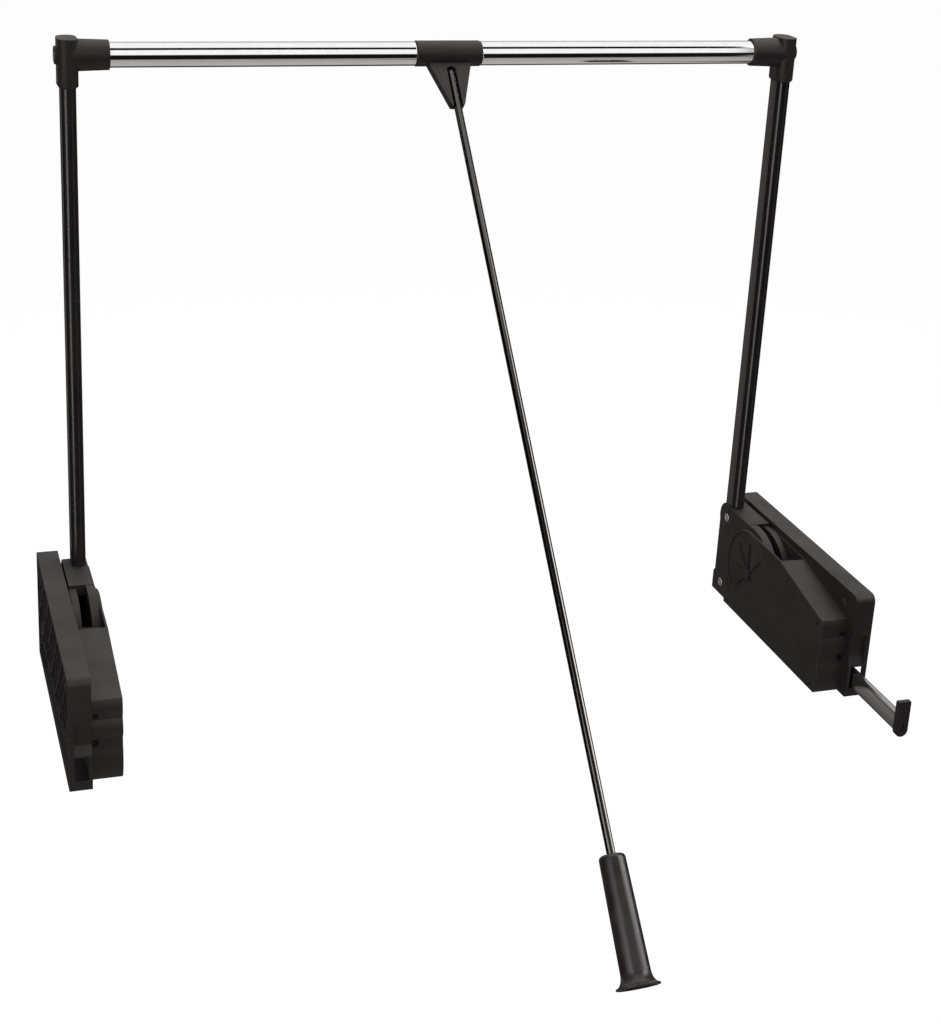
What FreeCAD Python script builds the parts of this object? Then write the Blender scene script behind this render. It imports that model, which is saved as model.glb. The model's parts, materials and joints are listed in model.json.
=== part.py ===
"""Pull down closet rod: two side units, swinging arms, telescopic rail, pull rod and slide-out bar.

Millimetres, +Z up, +X from the left side wall of the closet to the right one, -Y towards the room.
Each side unit is drawn in its own frame: x from the wall face inwards, y from the back edge of the
plate, z from its bottom edge. The right unit mirrors the left one. The exported origin is the centre
of the left unit's four wall screws, on the wall face.
"""

import FreeCAD, Part
import math
import os
from FreeCAD import Vector

# Overall
WIDTH = 850.0
ARM_X = 40.5
ARM_Y = -27.0
RAIL_Z = 655.0
GAP = 0.3
FIT = 0.1
RUNNING = 0.05

# Spacer plate
PLATE_LENGTH = 290.0
PLATE_HEIGHT = 120.0
PLATE_DEPTH = 22.0
PLATE_WALL = 3.0
PLATE_SKIN = 3.0
PLATE_FRONT_ROUND = 8.0
PLATE_ROUND = 3.0
RIB_THICK = 2.0
RIB_PITCH = 42.0
RIB_LEAN = 45.0
FRONT_POCKET_DEPTH = 4.0
FRONT_POCKET_TOP = 74.0
FRONT_POCKET_LOW = 48.0
FRONT_LIP_LOW = 38.5

# Wall screws
WALL_SCREW_BACK = 40.0
WALL_SCREW_FRONT = 25.0
WALL_SCREW_LOW = 48.0
WALL_SCREW_SPACING_Z = 58.0
WALL_SCREW_HOLE_R = 2.75
WALL_SCREW_HEAD_R = 5.0
WALL_SCREW_SINK = 2.5
WALL_BOSS_R = 6.5

# Slot and channel for the slide-out bar
SLOT_X = 5.0
SLOT_WIDTH = 14.0
SLOT_LOW = 11.0
SLOT_HEIGHT = 22.5
MOUTH_HEIGHT = 25.5
CHANNEL_SHELF = 2.0
CHANNEL_BACK = 52.0

# Mechanism housing
HOUSING_LOW = 1.0
HOUSING_SETBACK = 15.0
HOUSING_FRONT_TOP = 88.0
SLOPE_BACK = 172.0
SLOPE_TOP = 111.0
HOUSING_X = 53.0
SHELL_WALL = 2.2
SHELL_SIDE = 2.0
COVER_THICK = 2.2
COVER_BEVEL = 0.7
TOP_LOBE_LOW = 67.0
TOP_LOBE_BULGE = 2.2
MIDDLE_LOBE_LOW = 48.0
MIDDLE_LOBE_OUT = 2.4
MIDDLE_LOBE_BULGE = 2.0
LOW_LOBE_TOP = 36.0
LOW_LOBE_BULGE = 3.2
HOUSING_LOW_SETBACK = 17.0

# Pivot, round boss and its ribs
PIVOT_Y = -98.0
PIVOT_Z = 61.0
DISC_R = 52.0
AXLE_R = 6.0
AXLE_HEAD_R = 11.0
AXLE_HEAD = 3.0
AXLE_END_DEPTH = 1.6
BOSS_R = 7.5
BOSS_RISE = 2.2
RAY_COUNT = 5
RAY_FIRST = -135.0
RAY_STEP = 45.0
RAY_LENGTH = 38.0
RAY_WIDTH = 3.2
RAY_RISE = 1.8
BOSS_LIP_WIDTH = 2.6
BOSS_LIP_RISE = 1.2
BOSS_LIP_CHAMFER = 0.5
BOSS_LIP_FRONT = 34.0
BOSS_LIP_LOW = 30.0
WASHER_R = 11.0
WASHER_GAP = 0.5
WASHER_THICK = 0.4

# Arm carrier, the moulding that turns on the axle and holds the arm tube
CARRIER_GAP = 0.4
WHEEL_R = 57.0
OUTER_WHEEL_R = 53.0
OUTER_WHEEL_THICK = 7.0
INNER_WHEEL_THICK = 9.0
CORE_R = 15.0
WING_DROP = 0.6
SHEATH_WALL = 2.5
SHEATH_LOW = 2.0
SHEATH_FLOOR = 3.0
CARRIER_TOP = 117.0
BRIDGE_FRONT = 85.0
BRIDGE_THICK = 12.0
SHEATH_STEP = 0.8
EAR_R = 18.0
EAR_CHAMFER = 11.0
TAB_HEIGHT = 22.0
TAB_OUT = 3.5
TAB_ROUND = 1.5
EAR_ROUND = 2.0
BUSH_R = 8.5
BUSH_LENGTH = 9.0
EYELET_LOW = 17.0
EYELET_HIGH = 101.0
EYELET_R = 3.0
EYELET_BORE_R = 2.0
EYELET_HEAD_R = 5.0
EYELET_HEAD = 0.9
EYELET_HEAD_ROUND = 0.3

# Arm tube, flat oval
ARM_THICK = 15.0
ARM_DEPTH = 28.0
ARM_WALL = 1.5
ARM_BELOW_RAIL = 15.0

# Spring linkage
CRANK_R = 30.0
CRANK_ANGLE = 20.0
CRANK_PIN_R = 3.0
CRANK_PIN_SEAT = 4.9
ANCHOR_SETBACK = 28.0
ANCHOR_Z = 30.0
ANCHOR_PIN_R = 3.0
LINK_THICK = 5.0
LINK_WIDTH = 10.0
LINK_EYE_R = 7.0
SPRING_SPAN = 53.4
LINK_IN_PLUG = 6.0
PLUG_LENGTH = 14.0
PLUG_FLANGE = 2.0
SPRING_R = 8.0
SPRING_WIRE = 2.0
SPRING_PITCH = 2.45
ANCHOR_POST_R = 5.5

# Stops
STOP_PAD_THICK = 6.0
STOP_PAD_HEIGHT = 12.0
STOP_PAD_INSET = 4.0
STOP_WALL = 2.2
STOP_WALL_TOP = 18.0
CROSS_WALL_LOW = 64.0
LOWER_PAD_THICK = 16.0
LOWER_PAD_LOW = 84.0
LOWER_PAD_HEIGHT = 20.0

# Small screws
COVER_SCREW_R = 1.3
COVER_SCREW_HEAD_R = 2.6
COVER_SCREW_HEAD = 1.4
COVER_SCREW_LENGTH = 14.0
POST_R = 3.5
POST_EDGE = 7.5
SLOPE_SCREW_FRONT = 18.75
SLOPE_SCREW_DROP = 15.0
BACK_SCREW_IN = 11.25
LUG_LOW = 42.0
LUG_HIGH = 72.0
LUG_SIZE = 8.0
LUG_REACH = 10.0
LUG_SCREW_R = 1.5
LUG_SCREW_HEAD_R = 2.8
LUG_SCREW_HEAD = 1.6

# Corner connector
CONNECTOR_WALL = 2.5
CONNECTOR_BELOW_RAIL = 31.0
CONNECTOR_ABOVE_RAIL = 17.0
COLLAR_R = 14.7
COLLAR_ROOT_R = 16.0
COLLAR_REACH = 40.0
CONNECTOR_BOSS_R = 9.0
CONNECTOR_BOSS = 2.6
CONNECTOR_BOSS_ROUND = 1.4
RAIL_SOCKET = 35.0
CONNECTOR_CHAMFER = 2.0
CONNECTOR_TOP_CHAMFER = 0.6
RAIL_SCREW_R = 3.0
RAIL_SCREW_HEAD_R = 5.0
RAIL_SCREW_HEAD = 2.5
RAIL_SCREW_LENGTH = 32.0
HEX_ACROSS = 4.0
HEX_DEPTH = 1.75

# Telescopic rail
RAIL_R = 12.5
RAIL_WALL = 1.2
INNER_TUBE_R = 11.0
INNER_TUBE_WALL = 1.2
RAIL_PLUG_LENGTH = 20.0
INNER_TUBE_GAP = 6.0

# Centre sleeve with the flag that carries the pull rod
SLEEVE_LENGTH = 70.0
SLEEVE_R = 13.2
SLEEVE_CHAMFER = 1.2
FLAG_BASE = 54.0
FLAG_TIP = 14.0
FLAG_REACH = 64.0
FLAG_THICK = 8.7
FLAG_FRONT = 3.2
FLAG_TIP_ROUND = 2.0
FLAG_SLOT = 9.6
FLAG_SLOT_TOP = 17.5
FLAG_WEB = 1.2
FLAG_ANGLE = 44.2
SWING_PIN_R = 2.0
SWING_PIN_REACH = 24.0
SWING_PIN_SEAT = 6.0
SLEEVE_SCREW_R = 2.0
SLEEVE_SCREW_HEAD_R = 3.2
SLEEVE_SCREW_HEAD = 1.2

# Pull rod and grip
PULL_ROD_R = 4.0
PULL_ROD_END = 880.0
GRIP_START = 820.0
GRIP_LENGTH = 111.0
GRIP_TOP_R = 11.8
GRIP_LOW_R = 13.2
GRIP_RIM_R = 19.5
GRIP_FLARE = 13.0
GRIP_FLARE_OUT = 0.3
GRIP_FLARE_UP = 0.35
GRIP_RIM = 2.0
GRIP_SHOULDER = 4.0
GRIP_HOLLOW = 16.0
GRIP_HOLLOW_R = 9.0
GRIP_HOLLOW_BEND = 7.8
GRIP_SCREW_R = 2.5
GRIP_SCREW_LENGTH = 30.0
GRIP_SCREW_HEAD_R = 4.5
GRIP_SCREW_HEAD = 3.0

# Slide-out bar on the right unit
BAR_X = 9.0
BAR_THICK = 8.0
BAR_HEIGHT = 21.0
BAR_ROUND = 2.6
BAR_OUT = 95.0
BAR_REAR = 140.0
CAP_WIDTH = 14.4
CAP_HEIGHT = 41.0
CAP_THICK = 6.0
CAP_LOW = 8.5
CAP_POCKET = 3.0
CAP_SLOT_WIDTH = 4.0
CAP_SLOT_HEIGHT = 10.0
GUIDE_WALL = 2.0
GUIDE_SIDE = 3.6
GUIDE_SETBACK = 18.0
GUIDE_BACK = 148.0

# Places worked out from the sizes
WALL_SCREW_SPACING_Y = PLATE_LENGTH - WALL_SCREW_BACK - WALL_SCREW_FRONT
HOUSING_FRONT = PLATE_LENGTH - HOUSING_SETBACK
HOUSING_LOW_FRONT = PLATE_LENGTH - HOUSING_LOW_SETBACK
GUIDE_FRONT = PLATE_LENGTH - GUIDE_SETBACK
ANCHOR_Y = -PLATE_LENGTH + ANCHOR_SETBACK
ARM_TOP = RAIL_Z - ARM_BELOW_RAIL
CONNECTOR_LOW = RAIL_Z - CONNECTOR_BELOW_RAIL
CONNECTOR_TOP = RAIL_Z + CONNECTOR_ABOVE_RAIL
CARRIER_X0 = PLATE_DEPTH + SHELL_SIDE + WASHER_GAP
CARRIER_X1 = HOUSING_X - COVER_THICK - CARRIER_GAP
COVER_X0 = HOUSING_X - COVER_THICK
OUTER_WHEEL_X1 = CARRIER_X0 + OUTER_WHEEL_THICK
INNER_WHEEL_X0 = CARRIER_X1 - INNER_WHEEL_THICK
WHEEL_GAP_MID = (OUTER_WHEEL_X1 + INNER_WHEEL_X0) / 2
SHEATH_FRONT = ARM_Y - ARM_DEPTH / 2 - SHEATH_WALL
SHEATH_BACK = ARM_Y + ARM_DEPTH / 2 + SHEATH_WALL
CRANK_Y = PIVOT_Y - CRANK_R * math.cos(math.radians(CRANK_ANGLE))
CRANK_Z = PIVOT_Z - CRANK_R * math.sin(math.radians(CRANK_ANGLE))
LINE_LENGTH = math.hypot(ANCHOR_Y - CRANK_Y, ANCHOR_Z - CRANK_Z)
LINK_LENGTH = LINE_LENGTH - SPRING_SPAN
LINE_ANGLE = math.degrees(math.atan2(ANCHOR_Z - CRANK_Z, ANCHOR_Y - CRANK_Y))
ORIGIN = Vector(0, -WALL_SCREW_BACK - WALL_SCREW_SPACING_Y / 2, WALL_SCREW_LOW + WALL_SCREW_SPACING_Z / 2)
MIDDLE_X = WIDTH / 2


# Shapes
def block(x0, y0, z0, x1, y1, z1):
    """Box between two corners."""
    return Part.makeBox(x1 - x0, y1 - y0, z1 - z0, Vector(x0, y0, z0))


def rod_x(radius, x0, x1, y, z):
    """Cylinder along X."""
    return Part.makeCylinder(radius, x1 - x0, Vector(x0, y, z), Vector(1, 0, 0))


def ring_x(outer, inner, x0, x1, y, z):
    """Tube along X."""
    return rod_x(outer, x0, x1, y, z).cut(rod_x(inner, x0, x1, y, z))


def rod_y(radius, y0, y1, x, z):
    """Cylinder along Y."""
    return Part.makeCylinder(radius, y1 - y0, Vector(x, y0, z), Vector(0, 1, 0))


def side_face(edges, x0, x1):
    """Closed outline in a plane of constant x, carried from x0 to x1."""
    return Part.Face(Part.Wire(edges)).extrude(Vector(x1 - x0, 0, 0))


def rounded_edges(corners, x):
    """Closed outline of (y, z, radius) corners at x, with each corner rounded."""
    starts, ends, arcs = [], [], []
    for index, (y, z, radius) in enumerate(corners):
        here = Vector(x, y, z)
        before = Vector(x, *corners[index - 1][:2]) - here
        after = Vector(x, *corners[(index + 1) % len(corners)][:2]) - here
        before.normalize()
        after.normalize()
        half = before.getAngle(after) / 2
        if radius <= 0 or abs(half - math.pi / 2) < 1e-4:
            starts.append(here)
            ends.append(here)
            arcs.append(None)
            continue
        back = radius / math.tan(half)
        bisector = (before + after).normalize()
        middle = here + bisector * (radius / math.sin(half) - radius)
        starts.append(here + before * back)
        ends.append(here + after * back)
        arcs.append(Part.Arc(starts[-1], middle, ends[-1]).toShape())
    edges = []
    for index, arc in enumerate(arcs):
        if arc:
            edges.append(arc)
        edges.append(Part.makeLine(ends[index], starts[(index + 1) % len(arcs)]))
    return edges


def rounded_prism(corners, x0, x1):
    """Prism of a rounded outline, from x0 to x1."""
    return side_face(rounded_edges(corners, x0), x0, x1)


def oval_post(x, y, thick, depth, z0, z1):
    """Upright prism of a flat oval section."""
    radius = thick / 2
    straight = depth / 2 - radius
    post = block(x - radius, y - straight, z0, x + radius, y + straight, z1)
    for end in (y - straight, y + straight):
        post = post.fuse(Part.makeCylinder(radius, z1 - z0, Vector(x, end, z0)))
    return post.removeSplitter()


def group(shapes):
    """Separate solids kept in one node."""
    return Part.makeCompound(shapes)


def turned(shape, angle, y, z):
    """The shape turned about an axis along X through (y, z)."""
    copy = shape.copy()
    copy.rotate(Vector(0, y, z), Vector(1, 0, 0), angle)
    return copy


# Spacer plate
def wall_screw_places():
    """(y, z) of the four wall screws."""
    rows = (WALL_SCREW_LOW, WALL_SCREW_LOW + WALL_SCREW_SPACING_Z)
    columns = (-WALL_SCREW_BACK, -WALL_SCREW_BACK - WALL_SCREW_SPACING_Y)
    return [(y, z) for y in columns for z in rows]


def lug_places():
    """Heights of the two lugs that take the housing's front screws."""
    return (LUG_LOW, LUG_HIGH)


def plate_lattice(x0, x1):
    """Crossed diagonal ribs inside the plate."""
    reach = PLATE_LENGTH + PLATE_HEIGHT
    count = int(reach / RIB_PITCH)
    ribs = []
    for lean in (RIB_LEAN, -RIB_LEAN):
        for index in range(-count, count + 1):
            y = -PLATE_LENGTH / 2 + index * RIB_PITCH
            rib = block(x0, y - RIB_THICK / 2, -reach, x1, y + RIB_THICK / 2, reach)
            rib.rotate(Vector(0, y, PLATE_HEIGHT / 2), Vector(1, 0, 0), lean)
            ribs.append(rib)
    return ribs[0].multiFuse(ribs[1:])


def spacer_plate():
    """Deep ribbed tray, open to the wall, with the bar's slot at its front."""
    corners = [
        (0, 0, PLATE_ROUND),
        (-PLATE_LENGTH, 0, PLATE_ROUND),
        (-PLATE_LENGTH, PLATE_HEIGHT, PLATE_FRONT_ROUND),
        (0, PLATE_HEIGHT, PLATE_ROUND),
    ]
    body = rounded_prism(corners, 0, PLATE_DEPTH)
    skin_x = PLATE_DEPTH - PLATE_SKIN
    hollow = block(0, -PLATE_LENGTH + PLATE_WALL, PLATE_WALL, skin_x, -PLATE_WALL, PLATE_HEIGHT - PLATE_WALL)
    front_y = -PLATE_LENGTH + PLATE_WALL
    floor_z = SLOT_LOW - GUIDE_WALL
    roof_z = SLOT_LOW + SLOT_HEIGHT + GUIDE_WALL
    channel = block(0, front_y, floor_z - CHANNEL_SHELF, skin_x, -CHANNEL_BACK, roof_z + CHANNEL_SHELF)
    channel_space = block(0, front_y, floor_z, skin_x, -CHANNEL_BACK, roof_z)
    pocket_back = -PLATE_LENGTH + FRONT_POCKET_DEPTH
    pocket_wall = block(0, front_y, roof_z, skin_x, pocket_back + PLATE_WALL, FRONT_POCKET_TOP + PLATE_WALL)
    lattice = plate_lattice(0, skin_x).common(hollow).cut(channel)
    shelves = channel.cut(channel_space).common(hollow)
    inside = lattice.fuse(shelves).fuse(pocket_wall)
    bosses = [rod_x(WALL_BOSS_R, 0, skin_x, y, z) for y, z in wall_screw_places()]
    inside = inside.multiFuse(bosses)
    inside = inside.cut(rod_x(AXLE_HEAD_R + RIB_THICK, 0, skin_x, PIVOT_Y, PIVOT_Z))
    plate = body.cut(hollow).fuse(inside)
    lug_front = -HOUSING_LOW_FRONT + SHELL_WALL + GAP
    for z in lug_places():
        low, high = z - LUG_SIZE / 2, z + LUG_SIZE / 2
        plate = plate.fuse(block(skin_x, lug_front, low, PLATE_DEPTH + LUG_REACH, lug_front + LUG_SIZE, high))
    pocket = [
        (-PLATE_LENGTH, FRONT_LIP_LOW, 0),
        (-PLATE_LENGTH, FRONT_POCKET_TOP, 0),
        (pocket_back, FRONT_POCKET_TOP, 0),
        (pocket_back, FRONT_POCKET_LOW, 0),
    ]
    mouth_high = SLOT_LOW + MOUTH_HEIGHT
    cuts = [
        rounded_prism(pocket, SLOT_X, PLATE_DEPTH),
        block(SLOT_X, -PLATE_LENGTH, SLOT_LOW, SLOT_X + SLOT_WIDTH, front_y, mouth_high),
        rod_x(AXLE_R + FIT, skin_x, PLATE_DEPTH, PIVOT_Y, PIVOT_Z),
    ]
    for y, z in wall_screw_places():
        cuts.append(rod_x(WALL_SCREW_HOLE_R, 0, PLATE_DEPTH, y, z))
        sink_x = PLATE_DEPTH - WALL_SCREW_SINK
        sink = Part.makeCone(
            WALL_SCREW_HOLE_R, WALL_SCREW_HEAD_R, WALL_SCREW_SINK, Vector(sink_x, y, z), Vector(1, 0, 0)
        )
        cuts.append(sink)
    for z in lug_places():
        x = PLATE_DEPTH + LUG_REACH / 2
        cuts.append(rod_y(LUG_SCREW_R, lug_front, lug_front + LUG_SIZE, x, z))
    return plate.cut(cuts[0].multiFuse(cuts[1:])).removeSplitter()


# Mechanism housing
def lobe(start, bulge, end):
    """Arc that stands forward of the straight line between two points."""
    middle = (start + end) / 2 - Vector(0, bulge, 0)
    return Part.Arc(start, middle, end).toShape()


def housing_edges(x, inset=0.0):
    """The housing's outline at x: flat bottom, lobed front, slope, top and round end at the pivot."""
    low = HOUSING_LOW + inset
    front = -HOUSING_FRONT + inset
    low_front = -HOUSING_LOW_FRONT + inset
    back = PIVOT_Y + DISC_R - inset
    top = PIVOT_Z + DISC_R - inset
    slope_top = Vector(x, -SLOPE_BACK, SLOPE_TOP - inset)
    front_top = Vector(x, front, HOUSING_FRONT_TOP - inset)
    foot = Vector(x, low_front, low)
    low_top = Vector(x, front, LOW_LOBE_TOP)
    step_in = Vector(x, front, MIDDLE_LOBE_LOW)
    step_out = Vector(x, front - MIDDLE_LOBE_OUT, MIDDLE_LOBE_LOW)
    notch = Vector(x, front, TOP_LOBE_LOW)
    edges = [
        Part.makeLine(Vector(x, back, low), foot),
        lobe(foot, LOW_LOBE_BULGE, low_top),
        Part.makeLine(low_top, step_in),
        Part.makeLine(step_in, step_out),
        lobe(step_out, MIDDLE_LOBE_BULGE, notch),
        lobe(notch, TOP_LOBE_BULGE, front_top),
    ]
    disc_top = Vector(x, PIVOT_Y, top)
    disc_back = Vector(x, back, PIVOT_Z)
    lean = math.sqrt(0.5) * (DISC_R - inset)
    disc_middle = Vector(x, PIVOT_Y + lean, PIVOT_Z + lean)
    edges.append(Part.makeLine(front_top, slope_top))
    edges.append(Part.makeLine(slope_top, disc_top))
    edges.append(Part.Arc(disc_top, disc_middle, disc_back).toShape())
    edges.append(Part.makeLine(disc_back, Vector(x, back, low)))
    return edges


def cover_screw_places():
    """(y, z) of the screws that hold the inner cover."""
    low = HOUSING_LOW + POST_EDGE
    front = -HOUSING_LOW_FRONT + POST_EDGE
    middle = PIVOT_Y - DISC_R
    return [
        (-SLOPE_BACK - SLOPE_SCREW_FRONT, SLOPE_TOP - SLOPE_SCREW_DROP),
        (front, HOUSING_FRONT_TOP - POST_EDGE),
        (front, low),
        (middle, low),
        (PIVOT_Y + DISC_R - BACK_SCREW_IN, low),
    ]


def carrier_room():
    """The space that the carrier and the arm need inside the housing."""
    x0, x1 = PLATE_DEPTH + SHELL_SIDE, COVER_X0
    clear = WHEEL_R + 2 * GAP
    wheel = rod_x(clear, x0, x1, PIVOT_Y, PIVOT_Z)
    stop_front = SHEATH_FRONT - GAP - STOP_PAD_THICK - STOP_WALL
    behind = block(x0, stop_front, HOUSING_LOW + SHELL_WALL, x1, 0, PLATE_HEIGHT)
    above = block(x0, -SLOPE_BACK, PIVOT_Z, x1, PIVOT_Y + DISC_R, PLATE_HEIGHT)
    return wheel.fuse(behind).fuse(above)


def housing_shell():
    """Outer tray of the housing with its posts, cross wall and stop wall."""
    x0, x1 = PLATE_DEPTH, COVER_X0
    floor_x = x0 + SHELL_SIDE
    shell = side_face(housing_edges(x0), x0, x1)
    shell = shell.cut(side_face(housing_edges(floor_x, SHELL_WALL), floor_x, x1))
    shell = shell.cut(carrier_room())
    cross_top = SLOPE_TOP - SHELL_WALL / 2
    cross = block(floor_x, -SLOPE_BACK - SHELL_WALL, CROSS_WALL_LOW, x1, -SLOPE_BACK, cross_top)
    stop_back = SHEATH_FRONT - GAP - STOP_PAD_THICK
    stop = block(floor_x, stop_back - STOP_WALL, HOUSING_LOW + SHELL_WALL, x1, stop_back, STOP_WALL_TOP)
    posts = [rod_x(POST_R, floor_x, x1, y, z) for y, z in cover_screw_places()]
    anchor_post = rod_x(ANCHOR_POST_R, floor_x, WHEEL_GAP_MID - LINK_THICK / 2 - GAP, ANCHOR_Y, ANCHOR_Z)
    shell = shell.multiFuse([cross, stop, anchor_post] + posts)
    cuts = [rod_x(COVER_SCREW_R, x1 - COVER_SCREW_LENGTH, x1, y, z) for y, z in cover_screw_places()]
    cuts.append(rod_x(AXLE_R + FIT, x0, floor_x, PIVOT_Y, PIVOT_Z))
    cuts.append(rod_x(ANCHOR_PIN_R + RUNNING, floor_x, x1, ANCHOR_Y, ANCHOR_Z))
    lug_front = -HOUSING_LOW_FRONT + SHELL_WALL
    for z in lug_places():
        low, high = z - LUG_SIZE / 2 - GAP, z + LUG_SIZE / 2 + GAP
        cuts.append(block(x0, lug_front, low, floor_x, lug_front + LUG_SIZE + 2 * GAP, high))
        x = PLATE_DEPTH + LUG_REACH / 2
        cuts.append(rod_y(LUG_SCREW_R, -PLATE_LENGTH, lug_front + LUG_SIZE, x, z))
        cuts.append(rod_y(LUG_SCREW_HEAD_R + FIT, -PLATE_LENGTH, -HOUSING_FRONT, x, z))
    return shell.cut(cuts[0].multiFuse(cuts[1:])).removeSplitter()


def ray(angle):
    """One tapered rib of the round boss."""
    start = BOSS_R / 2
    half = RAY_WIDTH / 2
    points = [
        Vector(COVER_X0, PIVOT_Y - half, PIVOT_Z + start),
        Vector(COVER_X0, PIVOT_Y + half, PIVOT_Z + start),
        Vector(COVER_X0, PIVOT_Y + half / 2, PIVOT_Z + RAY_LENGTH),
        Vector(COVER_X0, PIVOT_Y - half / 2, PIVOT_Z + RAY_LENGTH),
    ]
    face = Part.Face(Part.makePolygon(points + points[:1]))
    rib = face.extrude(Vector(COVER_THICK + RAY_RISE, 0, 0))
    return turned(rib, angle, PIVOT_Y, PIVOT_Z)


def boss_lip():
    """Lip on the round boss, from the roof's end over the top to below the pivot's back."""
    x0, x1 = COVER_X0 + COVER_BEVEL, HOUSING_X + BOSS_LIP_RISE
    radius = DISC_R - COVER_BEVEL
    lip = ring_x(radius, radius - BOSS_LIP_WIDTH, x0, x1, PIVOT_Y, PIVOT_Z)
    rims = [edge for edge in lip.Edges if min(v.X for v in edge.Vertexes) > HOUSING_X]
    lip = lip.makeChamfer(BOSS_LIP_CHAMFER, rims)
    front, low = PIVOT_Y - BOSS_LIP_FRONT, PIVOT_Z - BOSS_LIP_LOW
    return lip.common(block(x0, front, low, x1, PIVOT_Y + DISC_R, PIVOT_Z + DISC_R))


def inner_cover():
    """Flat cover of the housing with the ribbed round boss that holds the axle's end."""
    bevel_x = HOUSING_X - COVER_BEVEL
    cover = side_face(housing_edges(COVER_X0), COVER_X0, bevel_x)
    bevel = [Part.Wire(housing_edges(bevel_x)), Part.Wire(housing_edges(HOUSING_X, COVER_BEVEL))]
    cover = cover.fuse(Part.makeLoft(bevel, True, True))
    rays = [ray(RAY_FIRST + RAY_STEP * index) for index in range(RAY_COUNT)]
    boss = rod_x(BOSS_R, COVER_X0, HOUSING_X + BOSS_RISE, PIVOT_Y, PIVOT_Z)
    cover = cover.multiFuse(rays + [boss, boss_lip()])
    cuts = [rod_x(AXLE_R + FIT, COVER_X0, COVER_X0 + AXLE_END_DEPTH + FIT, PIVOT_Y, PIVOT_Z)]
    for y, z in cover_screw_places():
        cuts.append(rod_x(COVER_SCREW_R + FIT, COVER_X0, HOUSING_X, y, z))
        head_x = HOUSING_X - COVER_SCREW_HEAD
        cuts.append(rod_x(COVER_SCREW_HEAD_R + FIT, head_x, HOUSING_X, y, z))
    return cover.cut(cuts[0].multiFuse(cuts[1:])).removeSplitter()


def small_screw_x(head_x, y, z):
    """Cover screw along X with its head flush with the cover."""
    head = rod_x(COVER_SCREW_HEAD_R, head_x - COVER_SCREW_HEAD, head_x, y, z)
    shank = rod_x(COVER_SCREW_R, head_x - COVER_SCREW_LENGTH, head_x, y, z)
    cross = block(
        head_x - COVER_SCREW_HEAD / 2, y - COVER_SCREW_R, z - COVER_SCREW_R / 4, head_x,
        y + COVER_SCREW_R, z + COVER_SCREW_R / 4,
    )
    return head.fuse(shank).cut(cross).cut(turned(cross, 90, y, z))


def cover_screws():
    """The screws of the inner cover."""
    return group([small_screw_x(HOUSING_X, y, z) for y, z in cover_screw_places()])


def front_screws():
    """Two screws through the housing's front into the plate's lugs."""
    screws = []
    x = PLATE_DEPTH + LUG_REACH / 2
    seat = -HOUSING_FRONT
    end = -HOUSING_LOW_FRONT + SHELL_WALL + LUG_SIZE
    for z in lug_places():
        head = rod_y(LUG_SCREW_HEAD_R, seat - LUG_SCREW_HEAD, seat, x, z)
        screws.append(head.fuse(rod_y(LUG_SCREW_R, seat, end, x, z)))
    return group(screws)


def pivot_axle():
    """Headed axle from the plate's hollow to the blind bore in the cover's boss."""
    skin_x = PLATE_DEPTH - PLATE_SKIN
    head = rod_x(AXLE_HEAD_R, skin_x - AXLE_HEAD, skin_x, PIVOT_Y, PIVOT_Z)
    axle = head.fuse(rod_x(AXLE_R, skin_x, COVER_X0 + AXLE_END_DEPTH, PIVOT_Y, PIVOT_Z))
    return axle.removeSplitter()


def thrust_washers():
    """Washers on both sides of the carrier."""
    inner = AXLE_R + FIT
    outer_x = PLATE_DEPTH + SHELL_SIDE
    thin = CARRIER_GAP - FIT
    return group([
        ring_x(WASHER_R, inner, outer_x, outer_x + WASHER_THICK, PIVOT_Y, PIVOT_Z),
        ring_x(WASHER_R, inner, COVER_X0 - thin, COVER_X0, PIVOT_Y, PIVOT_Z),
    ])


# Arm carrier
def carrier_slab(radius, x0, x1):
    """One wheel of the carrier with its wing back to the sheath."""
    wheel = rod_x(radius, x0, x1, PIVOT_Y, PIVOT_Z)
    wing_low = PIVOT_Z - radius * WING_DROP
    wing_top = PIVOT_Z + OUTER_WHEEL_R - GAP
    wing = block(x0, PIVOT_Y, wing_low, x1, SHEATH_FRONT + SHEATH_WALL, wing_top)
    return wheel.fuse(wing)


def sheath():
    """Upright sheath of the arm tube with its ear and its foot tab."""
    x1 = CARRIER_X1 - SHEATH_STEP
    low, top = SHEATH_LOW, CARRIER_TOP
    tab_top = low + TAB_HEIGHT
    corners = [
        (SHEATH_FRONT, low, 0),
        (SHEATH_BACK + TAB_OUT, low, TAB_ROUND),
        (SHEATH_BACK + TAB_OUT, tab_top, TAB_ROUND),
        (SHEATH_BACK, tab_top + TAB_OUT, TAB_ROUND),
        (SHEATH_BACK, top - EAR_CHAMFER, EAR_ROUND),
        (SHEATH_BACK - EAR_CHAMFER, top, EAR_ROUND),
        (SHEATH_FRONT, top, 0),
    ]
    body = rounded_prism(corners, CARRIER_X0, x1)
    ear = rod_x(EAR_R, CARRIER_X0, x1, ARM_Y, EYELET_HIGH)
    limit = block(CARRIER_X0, ARM_Y, low, x1, SHEATH_BACK + TAB_OUT, top)
    return body.fuse(ear.common(limit))


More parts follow.
